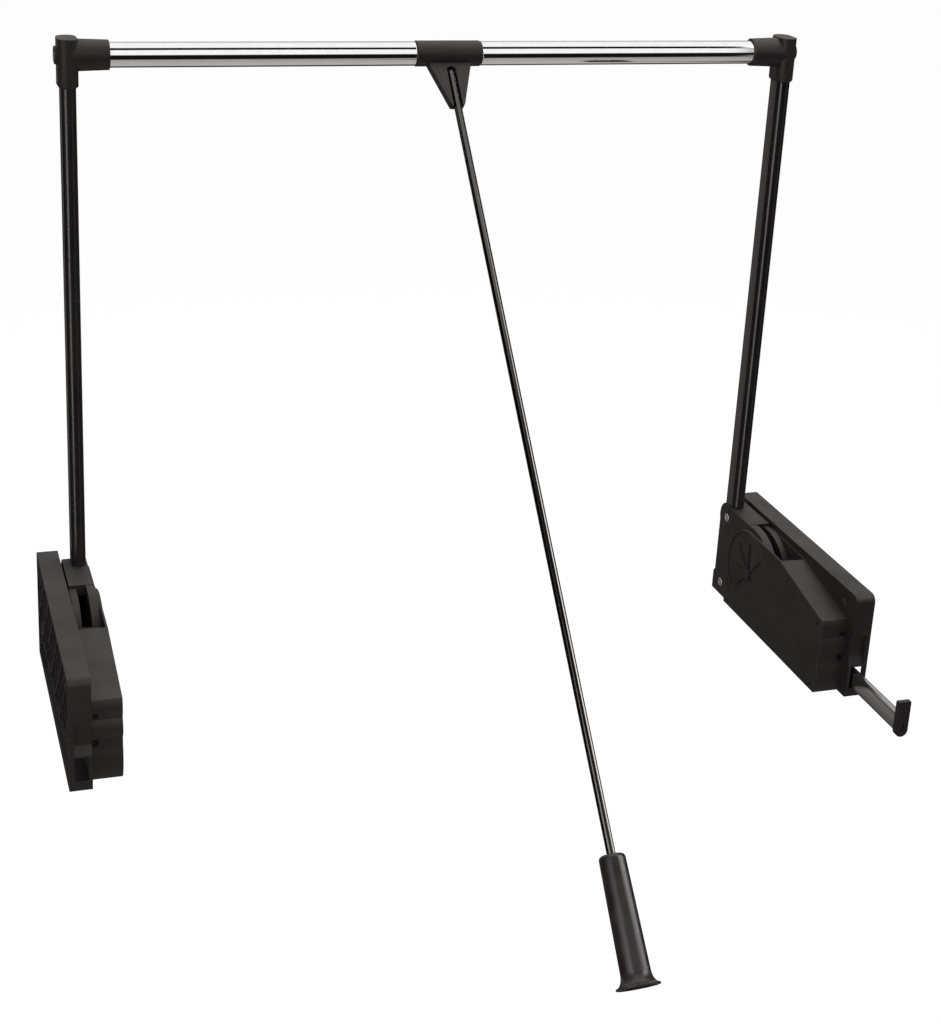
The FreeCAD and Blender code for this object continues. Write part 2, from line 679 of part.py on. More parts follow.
def arm_carrier():
    """Moulding that turns on the axle: two wheels, a bridge and the arm's sheath."""
    inner = carrier_slab(WHEEL_R, INNER_WHEEL_X0, CARRIER_X1)
    outer = carrier_slab(OUTER_WHEEL_R, CARRIER_X0, OUTER_WHEEL_X1)
    core = rod_x(CORE_R, CARRIER_X0, CARRIER_X1, PIVOT_Y, PIVOT_Z)
    bridge_low = CARRIER_TOP - BRIDGE_THICK
    bridge = block(CARRIER_X0, -BRIDGE_FRONT, bridge_low, CARRIER_X1, SHEATH_FRONT + SHEATH_WALL, CARRIER_TOP)
    body = inner.multiFuse([outer, core, bridge, sheath()])
    pocket_low = SHEATH_LOW + SHEATH_FLOOR
    cuts = [oval_post(ARM_X, ARM_Y, ARM_THICK + 2 * FIT, ARM_DEPTH + 2 * FIT, pocket_low, CARRIER_TOP)]
    bush_inner = CARRIER_X0 + BUSH_LENGTH
    bush_outer = CARRIER_X1 - BUSH_LENGTH
    cuts.append(rod_x(BUSH_R, CARRIER_X0, bush_inner, PIVOT_Y, PIVOT_Z))
    cuts.append(rod_x(BUSH_R, bush_outer, CARRIER_X1, PIVOT_Y, PIVOT_Z))
    cuts.append(rod_x(AXLE_R + GAP, CARRIER_X0, CARRIER_X1, PIVOT_Y, PIVOT_Z))
    cuts.append(rod_x(CRANK_PIN_R, *crank_pin_ends(), CRANK_Y, CRANK_Z))
    face_x = CARRIER_X1 - SHEATH_STEP
    for z in (EYELET_LOW, EYELET_HIGH):
        cuts.append(rod_x(EYELET_R + FIT, CARRIER_X0, face_x, ARM_Y, z))
        cuts.append(rod_x(EYELET_HEAD_R + FIT, CARRIER_X0, CARRIER_X0 + EYELET_HEAD + FIT, ARM_Y, z))
    return body.cut(cuts[0].multiFuse(cuts[1:])).removeSplitter()


def crank_pin_ends():
    """x of the crank pin's ends, inside both wheels."""
    return OUTER_WHEEL_X1 - CRANK_PIN_SEAT, INNER_WHEEL_X0 + CRANK_PIN_SEAT


def hub_bushes():
    """Plain bearings pressed in the carrier."""
    bore = AXLE_R + RUNNING
    return group([
        ring_x(BUSH_R, bore, CARRIER_X0, CARRIER_X0 + BUSH_LENGTH, PIVOT_Y, PIVOT_Z),
        ring_x(BUSH_R, bore, CARRIER_X1 - BUSH_LENGTH, CARRIER_X1, PIVOT_Y, PIVOT_Z),
    ])


def crank_pin():
    """Pin that carries the spring link between the wheels."""
    return rod_x(CRANK_PIN_R, *crank_pin_ends(), CRANK_Y, CRANK_Z)


def arm_eyelets():
    """Tubular rivets through the sheath and the arm tube."""
    face_x = CARRIER_X1 - SHEATH_STEP
    eyelets = []
    for z in (EYELET_LOW, EYELET_HIGH):
        barrel = rod_x(EYELET_R, CARRIER_X0, face_x, ARM_Y, z)
        head = rod_x(EYELET_HEAD_R, face_x, face_x + EYELET_HEAD, ARM_Y, z)
        head = head.makeFillet(EYELET_HEAD_ROUND, [head.Edges[0], head.Edges[2]])
        tail = rod_x(EYELET_HEAD_R, CARRIER_X0, CARRIER_X0 + EYELET_HEAD, ARM_Y, z)
        bore = rod_x(EYELET_BORE_R, CARRIER_X0, face_x + EYELET_HEAD, ARM_Y, z)
        eyelets.append(barrel.fuse(head).fuse(tail).cut(bore))
    return group(eyelets)


def arm_tube():
    """Flat oval steel tube from the sheath's floor to the corner connector."""
    low = SHEATH_LOW + SHEATH_FLOOR
    tube = oval_post(ARM_X, ARM_Y, ARM_THICK, ARM_DEPTH, low, ARM_TOP)
    bore = oval_post(ARM_X, ARM_Y, ARM_THICK - 2 * ARM_WALL, ARM_DEPTH - 2 * ARM_WALL, low, ARM_TOP)
    tube = tube.cut(bore)
    for z in (EYELET_LOW, EYELET_HIGH):
        tube = tube.cut(rod_x(EYELET_R + FIT, ARM_X - ARM_THICK, ARM_X + ARM_THICK, ARM_Y, z))
    return tube


# Spring linkage, drawn along +Y from the crank pin and turned into its line
def in_line(shape):
    """A shape drawn along -Y from the crank pin, turned to point at the anchor."""
    return turned(shape, LINE_ANGLE + 180, CRANK_Y, CRANK_Z)


def rod_in_line(radius, start, end):
    """Cylinder on the spring's line, between two distances from the crank pin."""
    rod = rod_y(radius, CRANK_Y - end, CRANK_Y - start, WHEEL_GAP_MID, CRANK_Z)
    return in_line(rod)


def tang(start, end, width):
    """Flat bar on the spring's line."""
    x0, x1 = WHEEL_GAP_MID - LINK_THICK / 2, WHEEL_GAP_MID + LINK_THICK / 2
    flat = block(x0, CRANK_Y - end, CRANK_Z - width / 2, x1, CRANK_Y - start, CRANK_Z + width / 2)
    return in_line(flat)


def spring_link():
    """Flat link from the crank pin to the rear spring plug."""
    x0, x1 = WHEEL_GAP_MID - LINK_THICK / 2, WHEEL_GAP_MID + LINK_THICK / 2
    link = tang(0, LINK_LENGTH, LINK_WIDTH).fuse(rod_x(LINK_EYE_R, x0, x1, CRANK_Y, CRANK_Z))
    return link.cut(rod_x(CRANK_PIN_R + RUNNING, x0, x1, CRANK_Y, CRANK_Z)).removeSplitter()


def plug_radius():
    """Radius of the plugs that the spring's end turns sit on."""
    return SPRING_R - SPRING_WIRE / 2 - FIT


def rear_plug_start():
    """Distance of the rear plug's flange from the crank pin."""
    return LINK_LENGTH - LINK_IN_PLUG - PLUG_FLANGE


def front_plug_end():
    """Distance of the front plug's outer face from the crank pin."""
    return LINE_LENGTH - ANCHOR_POST_R - 2 * GAP


def rear_spring_plug():
    """Plug inside the spring's rear end, slotted for the link."""
    start = rear_plug_start()
    flange = rod_in_line(SPRING_R + SPRING_WIRE / 2, start, start + PLUG_FLANGE)
    body = rod_in_line(plug_radius(), start, start + PLUG_FLANGE + PLUG_LENGTH)
    return flange.fuse(body).cut(tang(0, LINK_LENGTH, LINK_WIDTH)).removeSplitter()


def front_spring_plug():
    """Plug inside the spring's front end with an eye on the anchor pin."""
    end = front_plug_end()
    flange = rod_in_line(SPRING_R + SPRING_WIRE / 2, end - PLUG_FLANGE, end)
    body = rod_in_line(plug_radius(), end - PLUG_FLANGE - PLUG_LENGTH, end)
    x0, x1 = WHEEL_GAP_MID - LINK_THICK / 2, WHEEL_GAP_MID + LINK_THICK / 2
    eye = rod_x(LINK_EYE_R, x0, x1, ANCHOR_Y, ANCHOR_Z)
    plug = flange.multiFuse([body, tang(end - PLUG_FLANGE, LINE_LENGTH, LINK_WIDTH), eye])
    return plug.cut(rod_x(ANCHOR_PIN_R + RUNNING, x0, x1, ANCHOR_Y, ANCHOR_Z)).removeSplitter()


def half_turn(index, pitch):
    """Half a turn of the coil about -Y, in a plane that leans so that it climbs half a pitch."""
    side = 1 if index % 2 == 0 else -1
    start = Vector(side * SPRING_R, -index * pitch / 2, 0)
    end = Vector(-side * SPRING_R, -(index + 1) * pitch / 2, 0)
    wire = Part.Face(Part.Wire(Part.makeCircle(SPRING_WIRE / 2, start, Vector(0, 0, 1))))
    axis = (end - start).cross(Vector(0, 0, side)).normalize()
    return wire.revolve((start + end) / 2, axis, 180)


def spring():
    """Coil of the extension spring between the two plugs' flanges."""
    wire_r = SPRING_WIRE / 2
    start = rear_plug_start() + PLUG_FLANGE + wire_r + FIT
    end = front_plug_end() - PLUG_FLANGE - wire_r - FIT
    halves = 2 * int((end - start) / SPRING_PITCH)
    pitch = 2 * (end - start) / halves
    turns = [half_turn(index, pitch) for index in range(halves)]
    coil = turns[0].multiFuse(turns[1:])
    coil.translate(Vector(WHEEL_GAP_MID, CRANK_Y - start, CRANK_Z))
    return in_line(coil)


def anchor_pin():
    """Pin that anchors the spring between the shell and the cover."""
    return rod_x(ANCHOR_PIN_R, PLATE_DEPTH + SHELL_SIDE, COVER_X0, ANCHOR_Y, ANCHOR_Z)


def stop_pads():
    """Rubber pads for the arm's upright and lowered ends of travel."""
    x0, x1 = CARRIER_X0 + STOP_PAD_INSET, CARRIER_X1 - STOP_PAD_INSET
    back = SHEATH_FRONT - GAP
    low = HOUSING_LOW + SHELL_WALL
    upright = block(x0, back - STOP_PAD_THICK, low, x1, back, low + STOP_PAD_HEIGHT)
    front = -SLOPE_BACK
    lowered = block(x0, front, LOWER_PAD_LOW, x1, front + LOWER_PAD_THICK, LOWER_PAD_LOW + LOWER_PAD_HEIGHT)
    return group([upright, lowered])


# Corner connector and rail
def corner_connector():
    """Moulded corner that joins the arm tube to the chrome rail."""
    x0 = ARM_X - ARM_THICK / 2 - CONNECTOR_WALL
    thick = ARM_THICK + 2 * CONNECTOR_WALL
    depth = ARM_DEPTH + 2 * CONNECTOR_WALL
    sleeve = oval_post(ARM_X, ARM_Y, thick, depth, CONNECTOR_LOW, CONNECTOR_TOP)
    for height, size in ((CONNECTOR_LOW, CONNECTOR_CHAMFER), (CONNECTOR_TOP, CONNECTOR_TOP_CHAMFER)):
        rims = [edge for edge in sleeve.Edges if all(abs(v.Z - height) < GAP for v in edge.Vertexes)]
        sleeve = sleeve.makeChamfer(size, rims)
    collar = Part.makeCone(
        COLLAR_ROOT_R, COLLAR_R, COLLAR_REACH, Vector(ARM_X, ARM_Y, RAIL_Z), Vector(1, 0, 0)
    )
    boss = rod_x(CONNECTOR_BOSS_R, x0 - CONNECTOR_BOSS, ARM_X, ARM_Y, RAIL_Z)
    outer = [edge for edge in boss.Edges if max(v.X for v in edge.Vertexes) < x0]
    boss = boss.makeFillet(CONNECTOR_BOSS_ROUND, outer)
    body = sleeve.multiFuse([collar, boss])
    socket_x = ARM_X + COLLAR_REACH - RAIL_SOCKET
    head_x = x0 - CONNECTOR_BOSS + RAIL_SCREW_HEAD
    cuts = [
        oval_post(ARM_X, ARM_Y, ARM_THICK + 2 * FIT, ARM_DEPTH + 2 * FIT, CONNECTOR_LOW, ARM_TOP + GAP),
        rod_x(RAIL_R + FIT, socket_x, ARM_X + COLLAR_REACH, ARM_Y, RAIL_Z),
        rod_x(RAIL_SCREW_R + FIT, x0 - CONNECTOR_BOSS, socket_x, ARM_Y, RAIL_Z),
        rod_x(RAIL_SCREW_HEAD_R + FIT, x0 - CONNECTOR_BOSS, head_x, ARM_Y, RAIL_Z),
    ]
    return body.cut(cuts[0].multiFuse(cuts[1:])).removeSplitter()


def rail_screw():
    """Socket screw from the connector's outer boss into the rail plug."""
    x0 = ARM_X - ARM_THICK / 2 - CONNECTOR_WALL - CONNECTOR_BOSS
    head_x = x0 + RAIL_SCREW_HEAD
    head = rod_x(RAIL_SCREW_HEAD_R, x0, head_x, ARM_Y, RAIL_Z)
    shank = rod_x(RAIL_SCREW_R, head_x, head_x + RAIL_SCREW_LENGTH, ARM_Y, RAIL_Z)
    hexagon = Part.makePolygon([
        Vector(x0, ARM_Y + HEX_ACROSS / math.sqrt(3) * math.cos(math.radians(60 * k)),
               RAIL_Z + HEX_ACROSS / math.sqrt(3) * math.sin(math.radians(60 * k)))
        for k in range(7)
    ])
    socket = Part.Face(hexagon).extrude(Vector(HEX_DEPTH, 0, 0))
    return head.fuse(shank).cut(socket)


def rail_start():
    """x of the chrome tube's outer end."""
    return ARM_X + COLLAR_REACH - RAIL_SOCKET + GAP


def rail_plug():
    """Threaded plug in the chrome tube's end."""
    x0 = rail_start()
    return ring_x(RAIL_R - RAIL_WALL - FIT, RAIL_SCREW_R, x0, x0 + RAIL_PLUG_LENGTH, ARM_Y, RAIL_Z)


def chrome_tube():
    """Outer chrome tube from the connector to the centre sleeve."""
    end = MIDDLE_X - SLEEVE_LENGTH / 2 - GAP
    return ring_x(RAIL_R, RAIL_R - RAIL_WALL, rail_start(), end, ARM_Y, RAIL_Z)


def inner_tube():
    """Inner tube that both chrome tubes slide on."""
    start = rail_start() + RAIL_PLUG_LENGTH + INNER_TUBE_GAP
    tube = ring_x(INNER_TUBE_R, INNER_TUBE_R - INNER_TUBE_WALL, start, WIDTH - start, ARM_Y, RAIL_Z)
    return tube.cut(sleeve_screw_shape(FIT))


# Centre sleeve, pull rod and grip: drawn hanging straight down, then swung forward
def swung(shape):
    """A hanging shape swung forward about the rail's axis."""
    return turned(shape, -FLAG_ANGLE, ARM_Y, RAIL_Z)


def sleeve_screw_shape(extra):
    """Grub screw at the sleeve's back, grown by extra."""
    y = ARM_Y + INNER_TUBE_R - 2 * INNER_TUBE_WALL
    shank = rod_y(SLEEVE_SCREW_R + extra, y, ARM_Y + SLEEVE_R - SLEEVE_SCREW_HEAD, MIDDLE_X, RAIL_Z)
    head_y = ARM_Y + SLEEVE_R - SLEEVE_SCREW_HEAD
    head = rod_y(SLEEVE_SCREW_HEAD_R + extra, head_y, head_y + SLEEVE_SCREW_HEAD + extra, MIDDLE_X, RAIL_Z)
    return swung(shank.fuse(head))


def sleeve_screw():
    """Screw that fixes the sleeve to the inner tube."""
    return sleeve_screw_shape(0)


def tip_edge(edge):
    """Whether an edge is one of the two along the flag's thickness at its tip."""
    ends = [vertex.Z for vertex in edge.Vertexes]
    return max(ends) < RAIL_Z - FLAG_REACH + GAP and abs(edge.Vertexes[0].Y - edge.Vertexes[1].Y) > GAP


def centre_sleeve():
    """Sleeve round the inner tube with a forked triangular flag."""
    sleeve = rod_x(SLEEVE_R, MIDDLE_X - SLEEVE_LENGTH / 2, MIDDLE_X + SLEEVE_LENGTH / 2, ARM_Y, RAIL_Z)
    sleeve = sleeve.makeChamfer(SLEEVE_CHAMFER, [sleeve.Edges[0], sleeve.Edges[2]])
    y0 = ARM_Y - FLAG_FRONT
    base, tip = FLAG_BASE / 2, FLAG_TIP / 2
    corners = [(-base, 0), (base, 0), (tip, -FLAG_REACH), (-tip, -FLAG_REACH)]
    points = [Vector(MIDDLE_X + dx, y0, RAIL_Z + dz) for dx, dz in corners]
    flag = Part.Face(Part.makePolygon(points + points[:1])).extrude(Vector(0, FLAG_THICK, 0))
    tips = [edge for edge in flag.Edges if tip_edge(edge)]
    flag = flag.makeFillet(FLAG_TIP_ROUND, tips)
    web_y = y0 + FLAG_THICK - FLAG_WEB
    slot_low, slot_high = RAIL_Z - FLAG_REACH, RAIL_Z - FLAG_SLOT_TOP - FLAG_SLOT / 2
    slot = block(MIDDLE_X - FLAG_SLOT / 2, y0, slot_low, MIDDLE_X + FLAG_SLOT / 2, web_y, slot_high)
    slot = slot.fuse(rod_y(FLAG_SLOT / 2, y0, web_y, MIDDLE_X, slot_high))
    bore = rod_x(INNER_TUBE_R + FIT, MIDDLE_X - SLEEVE_LENGTH, MIDDLE_X + SLEEVE_LENGTH, ARM_Y, RAIL_Z)
    body = sleeve.fuse(flag)
    pin_z = RAIL_Z - SWING_PIN_REACH
    pin = rod_x(SWING_PIN_R, *swing_pin_ends(), ARM_Y, pin_z)
    body = body.cut(slot.multiFuse([bore, pin]))
    return swung(body).cut(sleeve_screw_shape(FIT)).removeSplitter()


def swing_pin_ends():
    """x of the ends of the pin that carries the pull rod."""
    reach = FLAG_SLOT / 2 + SWING_PIN_SEAT
    return MIDDLE_X - reach, MIDDLE_X + reach


def swing_pin():
    """Cross pin in the flag."""
    return swung(rod_x(SWING_PIN_R, *swing_pin_ends(), ARM_Y, RAIL_Z - SWING_PIN_REACH))


def pull_rod():
    """Long round rod with a rounded eye end on the swing pin."""
    top = RAIL_Z - SWING_PIN_REACH
    end = Vector(MIDDLE_X, ARM_Y, RAIL_Z - PULL_ROD_END)
    rod = Part.makeCylinder(PULL_ROD_R, PULL_ROD_END - SWING_PIN_REACH, end)
    rod = rod.fuse(Part.makeSphere(PULL_ROD_R, Vector(MIDDLE_X, ARM_Y, top)))
    cross = rod_x(SWING_PIN_R + RUNNING, MIDDLE_X - PULL_ROD_R, MIDDLE_X + PULL_ROD_R, ARM_Y, top)
    thread = Part.makeCylinder(GRIP_SCREW_R, GRIP_SCREW_LENGTH / 2, end)
    return swung(rod.cut(cross).cut(thread))


def grip():
    """Tapered grip with a rounded shoulder and a bell end."""
    z_top = RAIL_Z - GRIP_START
    z_end = z_top - GRIP_LENGTH
    flare_z = z_end + GRIP_FLARE
    x, y = MIDDLE_X, ARM_Y
    bend = GRIP_SHOULDER * (1 - math.sqrt(0.5))
    shoulder = Part.Arc(
        Vector(x + GRIP_TOP_R - GRIP_SHOULDER, y, z_top),
        Vector(x + GRIP_TOP_R - bend, y, z_top - bend),
        Vector(x + GRIP_TOP_R, y, z_top - GRIP_SHOULDER),
    ).toShape()
    flare_out = (GRIP_RIM_R - GRIP_LOW_R) * GRIP_FLARE_OUT
    flare_up = (GRIP_FLARE - GRIP_RIM) * GRIP_FLARE_UP
    flare = Part.Arc(
        Vector(x + GRIP_LOW_R, y, flare_z),
        Vector(x + GRIP_LOW_R + flare_out, y, z_end + GRIP_RIM + flare_up),
        Vector(x + GRIP_RIM_R, y, z_end + GRIP_RIM),
    ).toShape()
    rim = Vector(x + GRIP_RIM_R, y, z_end)
    hollow_mouth = Vector(x + GRIP_RIM_R - GRIP_RIM, y, z_end)
    hollow_side = Vector(x + GRIP_HOLLOW_R, y, z_end + GRIP_HOLLOW_BEND)
    hollow_top = Vector(x + GRIP_HOLLOW_R, y, z_end + GRIP_HOLLOW)
    edges = [
        Part.makeLine(Vector(x, y, z_top), shoulder.Vertexes[0].Point),
        shoulder,
        Part.makeLine(shoulder.Vertexes[1].Point, flare.Vertexes[0].Point),
        flare,
        Part.makeLine(flare.Vertexes[1].Point, rim),
        Part.makeLine(rim, hollow_mouth),
        Part.makeLine(hollow_mouth, hollow_side),
        Part.makeLine(hollow_side, hollow_top),
        Part.makeLine(hollow_top, Vector(x, y, hollow_top.z)),
        Part.makeLine(Vector(x, y, hollow_top.z), Vector(x, y, z_top)),
    ]
    body = Part.Face(Part.Wire(edges)).revolve(Vector(x, y, 0), Vector(0, 0, 1), 360)
    rod_end = RAIL_Z - PULL_ROD_END
    rod_hole = Part.makeCylinder(PULL_ROD_R + FIT, z_top - rod_end, Vector(x, y, rod_end))
    screw_hole = Part.makeCylinder(GRIP_SCREW_R + FIT, rod_end - z_end, Vector(x, y, z_end))
    return swung(body.cut(rod_hole).cut(screw_hole))


def grip_screw():
    """Screw in the bell end, up into the pull rod."""
    x, y = MIDDLE_X, ARM_Y
    seat = RAIL_Z - GRIP_START - GRIP_LENGTH + GRIP_HOLLOW
    end = RAIL_Z - PULL_ROD_END + GRIP_SCREW_LENGTH / 2
    shank = Part.makeCylinder(GRIP_SCREW_R, end - seat, Vector(x, y, seat))
    head = Part.makeCylinder(GRIP_SCREW_HEAD_R, GRIP_SCREW_HEAD, Vector(x, y, seat - GRIP_SCREW_HEAD))
    return swung(shank.fuse(head))


# Slide-out bar, in the side unit's frame
def bar_front():
    """y of the end cap's back face."""
    return -PLATE_LENGTH - BAR_OUT


def valet_bar():
    """Flat chrome bar in the plate's channel."""
    z0 = SLOT_LOW + GAP
    front = bar_front() - CAP_POCKET + GAP
    bar = block(BAR_X, front, z0, BAR_X + BAR_THICK, -BAR_REAR, z0 + BAR_HEIGHT)
    long_edges = [edge for edge in bar.Edges if abs(edge.Vertexes[0].Y - edge.Vertexes[1].Y) > BAR_OUT]
    return bar.makeFillet(BAR_ROUND, long_edges)


def bar_cap():
    """Upright end cap of the bar with a rounded foot and a long hole."""
    x = BAR_X + BAR_THICK / 2
    back = bar_front()
    front = back - CAP_THICK
    radius = CAP_WIDTH / 2
    body = block(x - radius, front, CAP_LOW + radius, x + radius, back, CAP_LOW + CAP_HEIGHT)
    top = [edge for edge in body.Edges if min(v.Z for v in edge.Vertexes) > CAP_LOW + CAP_HEIGHT - GAP]
    body = body.makeFillet(CAP_THICK / 4, top)
    body = body.fuse(rod_y(radius, front, back, x, CAP_LOW + radius)).removeSplitter()
    z0 = SLOT_LOW + GAP
    half = BAR_THICK / 2 + FIT
    pocket = block(x - half, back - CAP_POCKET, z0 - FIT, x + half, back, z0 + BAR_HEIGHT + FIT)
    hole_r = CAP_SLOT_WIDTH / 2
    hole_low = CAP_LOW + radius - hole_r
    hole = block(x - hole_r, front, hole_low + hole_r, x + hole_r, back, hole_low + CAP_SLOT_HEIGHT - hole_r)
    for z in (hole_low + hole_r, hole_low + CAP_SLOT_HEIGHT - hole_r):
        hole = hole.fuse(rod_y(hole_r, front, back, x, z))
    return body.cut(pocket).cut(hole)


def bar_guide():
    """Nylon guide round the bar's wall side, its top and its bottom."""
    x1 = BAR_X - GAP
    x0 = x1 - GUIDE_SIDE
    skin_x = PLATE_DEPTH - PLATE_SKIN
    z0 = SLOT_LOW - GUIDE_WALL
    z1 = SLOT_LOW + SLOT_HEIGHT + GUIDE_WALL
    guide = block(x0, -GUIDE_FRONT, z0, skin_x, -GUIDE_BACK, z1)
    space = block(x1, -GUIDE_FRONT, SLOT_LOW, skin_x, -GUIDE_BACK, SLOT_LOW + SLOT_HEIGHT)
    return guide.cut(space)


# Writing
def mirrored(shape):
    """The left unit's shape on the right side."""
    return shape.mirror(Vector(MIDDLE_X, 0, 0), Vector(1, 0, 0))


def write(name, shape):
    """Moves a finished shape to the exported origin and writes it."""
    placed = shape.copy()
    placed.translate(ORIGIN * -1)
    for solid in placed.Solids:
        if not solid.isValid():
            print("not valid:", name)
    placed.exportStep("parts/" + name + ".step")


PAIRED = (
    spacer_plate, housing_shell, inner_cover, cover_screws, front_screws, pivot_axle, thrust_washers,
    anchor_pin, front_spring_plug, spring, stop_pads, arm_carrier, hub_bushes, crank_pin, arm_eyelets,
    arm_tube, spring_link, rear_spring_plug, corner_connector, rail_screw, rail_plug, chrome_tube,
)
MIDDLE = (inner_tube, centre_sleeve, sleeve_screw, swing_pin, pull_rod, grip, grip_screw)
RIGHT_ONLY = (valet_bar, bar_cap, bar_guide)


def main():
    """Writes one STEP file per node."""
    os.makedirs("parts", exist_ok=True)
    for make in PAIRED:
        shape = make()
        write("left_" + make.__name__, shape)
        write("right_" + make.__name__, mirrored(shape))
    for make in MIDDLE:
        write(make.__name__, make())
    for make in RIGHT_ONLY:
        write(make.__name__, mirrored(make()))


main()
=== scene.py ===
"""Dresses a pull down closet rod: moulded side units, coated arms, a chrome rail and a pull rod."""

import json
import logging
import math
from dataclasses import dataclass, field
from enum import Enum

import bmesh
import bpy
import numpy as np
from mathutils import Matrix, Vector


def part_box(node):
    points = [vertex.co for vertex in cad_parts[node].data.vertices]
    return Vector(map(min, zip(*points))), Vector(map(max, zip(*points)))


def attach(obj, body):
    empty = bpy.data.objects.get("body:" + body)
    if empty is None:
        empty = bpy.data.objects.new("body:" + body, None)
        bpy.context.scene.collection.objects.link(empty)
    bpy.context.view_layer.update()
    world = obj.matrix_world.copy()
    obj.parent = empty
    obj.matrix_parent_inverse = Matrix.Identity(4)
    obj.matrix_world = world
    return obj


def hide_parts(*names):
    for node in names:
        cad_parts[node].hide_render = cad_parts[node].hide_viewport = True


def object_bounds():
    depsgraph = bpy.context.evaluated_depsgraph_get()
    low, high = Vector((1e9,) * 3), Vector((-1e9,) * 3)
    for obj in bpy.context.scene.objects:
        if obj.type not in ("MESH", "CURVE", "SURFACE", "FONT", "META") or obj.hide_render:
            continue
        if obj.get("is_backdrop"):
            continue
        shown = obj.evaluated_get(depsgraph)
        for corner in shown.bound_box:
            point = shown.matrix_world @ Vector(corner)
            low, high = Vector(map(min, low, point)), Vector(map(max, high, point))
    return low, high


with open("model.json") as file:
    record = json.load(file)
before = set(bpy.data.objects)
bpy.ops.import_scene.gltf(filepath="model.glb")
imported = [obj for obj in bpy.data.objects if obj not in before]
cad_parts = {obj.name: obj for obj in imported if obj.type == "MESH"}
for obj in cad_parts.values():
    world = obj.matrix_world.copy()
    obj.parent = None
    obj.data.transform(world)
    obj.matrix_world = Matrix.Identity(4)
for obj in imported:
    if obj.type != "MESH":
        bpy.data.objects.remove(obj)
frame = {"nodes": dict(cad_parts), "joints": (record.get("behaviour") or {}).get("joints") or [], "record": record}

LOG = logging.getLogger("closet_rod")
MM = 0.001
WHITE = "#ffffff"
BLACK = "#000000"
MIX_FACTOR, MIX_FIRST, MIX_SECOND, MIX_RESULT = 0, 6, 7, 2  # sockets of a mix node set to colours

Tree = bpy.types.NodeTree
Socket = bpy.types.NodeSocket


class Side(Enum):
    """The two side walls of the closet, by the sign of the way inwards along X."""

    LEFT = 1
    RIGHT = -1

    def node(self, name: str) -> str:
        """Name of this side's CAD node."""
        return f"{self.name.lower()}_{name}"


# ---------------------------------------------------------------- colours and nodes


def linear(code: str) -> tuple[float, float, float, float]:
    """Linear colour of an sRGB hex value.

    Args:
        code: Six hex digits after a hash.

    Returns:
        Red, green, blue and an alpha of 1.
    """
    toe_end, toe_slope, offset, power = 0.04045, 12.92, 0.055, 2.4
    parts = [int(code[k:k + 2], 16) / 255 for k in (1, 3, 5)]
    red, green, blue = (
        c / toe_slope if c <= toe_end else ((c + offset) / (1 + offset)) ** power for c in parts)
    return red, green, blue, 1.0


def add_node(tree: Tree, kind: str, settings: dict | None = None,
             inputs: dict | None = None) -> bpy.types.Node:
    """Adds a node with its settings, its socket values and its links.

    Args:
        tree: The node tree that gets the node.
        kind: The node's type name.
        settings: Properties of the node.
        inputs: Values or output sockets, by the name or number of the input.

    Returns:
        The new node.
    """
    node = tree.nodes.new(kind)
    for name, value in (settings or {}).items():
        setattr(node, name, value)
    for name, value in (inputs or {}).items():
        if isinstance(value, Socket):
            tree.links.new(value, node.inputs[name])
        else:
            node.inputs[name].default_value = value
    return node


def compute(tree: Tree, operation: str, *values: Socket | float) -> Socket:
    """Result of a math node over its values, in their order."""
    node = add_node(tree, "ShaderNodeMath", {"operation": operation}, dict(enumerate(values)))
    return node.outputs[0]


def remap(tree: Tree, value: Socket, span: tuple[float, float],
          result: tuple[Socket | float, float] = (0.0, 1.0), soft: bool = False) -> Socket:
    """Maps a span of values to a span of results, and holds the ends outside it.

    Args:
        tree: The node tree.
        value: What is mapped.
        span: The values where the map starts and ends.
        result: What comes out there.
        soft: Whether it eases in and out.

    Returns:
        The mapped value.
    """
    ease = "SMOOTHSTEP" if soft else "LINEAR"
    node = add_node(tree, "ShaderNodeMapRange", {"interpolation_type": ease}, {
        "Value": value, "From Min": span[0], "From Max": span[1], "To Min": result[0], "To Max": result[1]})
    return node.outputs["Result"]


def ramp(tree: Tree, factor: Socket, stops: list[tuple[float, str]]) -> Socket:
    """Colour ramp with hex colours.

    Args:
        tree: The node tree.
        factor: What drives the ramp.
        stops: Place and hex colour of each stop, in order.

    Returns:
        The ramp's colour output.
    """
    node = add_node(tree, "ShaderNodeValToRGB", inputs={"Fac": factor})
    elements = node.color_ramp.elements
    while len(elements) < len(stops):
        elements.new(0.5)
    for element, (place_on, code) in zip(elements, stops):
        element.position = place_on
        element.color = linear(code)
    return node.outputs["Color"]


def mix_colours(tree: Tree, factor: Socket, first: Socket, second: Socket) -> Socket:
    """Colour between two, by a factor from 0 to 1."""
    node = add_node(tree, "ShaderNodeMix", {"data_type": "RGBA"}, {
        MIX_FACTOR: factor, MIX_FIRST: first, MIX_SECOND: second})
    return node.outputs[MIX_RESULT]


def mix_shaders(tree: Tree, factor: Socket, first: Socket, second: Socket) -> Socket:
    """Shader between two, by a factor from 0 to 1."""
    return add_node(tree, "ShaderNodeMixShader", inputs={0: factor, 1: first, 2: second}).outputs[0]


def background(tree: Tree, colour: Socket | tuple, strength: Socket | float = 1.0) -> Socket:
    """Shader of a world that glows in a colour."""
    return add_node(tree, "ShaderNodeBackground", inputs={"Color": colour, "Strength": strength}).outputs[0]


def new_material(name: str) -> tuple[bpy.types.Material, Tree, bpy.types.Node]:
    """Empty material with a surface shader wired to its output.

    Args:
        name: The material's name.

    Returns:
        The material, its node tree and its shader.
    """
    material = bpy.data.materials.new(name)
    material.use_nodes = True
    tree = material.node_tree
    tree.nodes.clear()
    shader = add_node(tree, "ShaderNodeBsdfPrincipled")
    add_node(tree, "ShaderNodeOutputMaterial", inputs={"Surface": shader.outputs["BSDF"]})
    return material, tree, shader


# ---------------------------------------------------------------- finishes


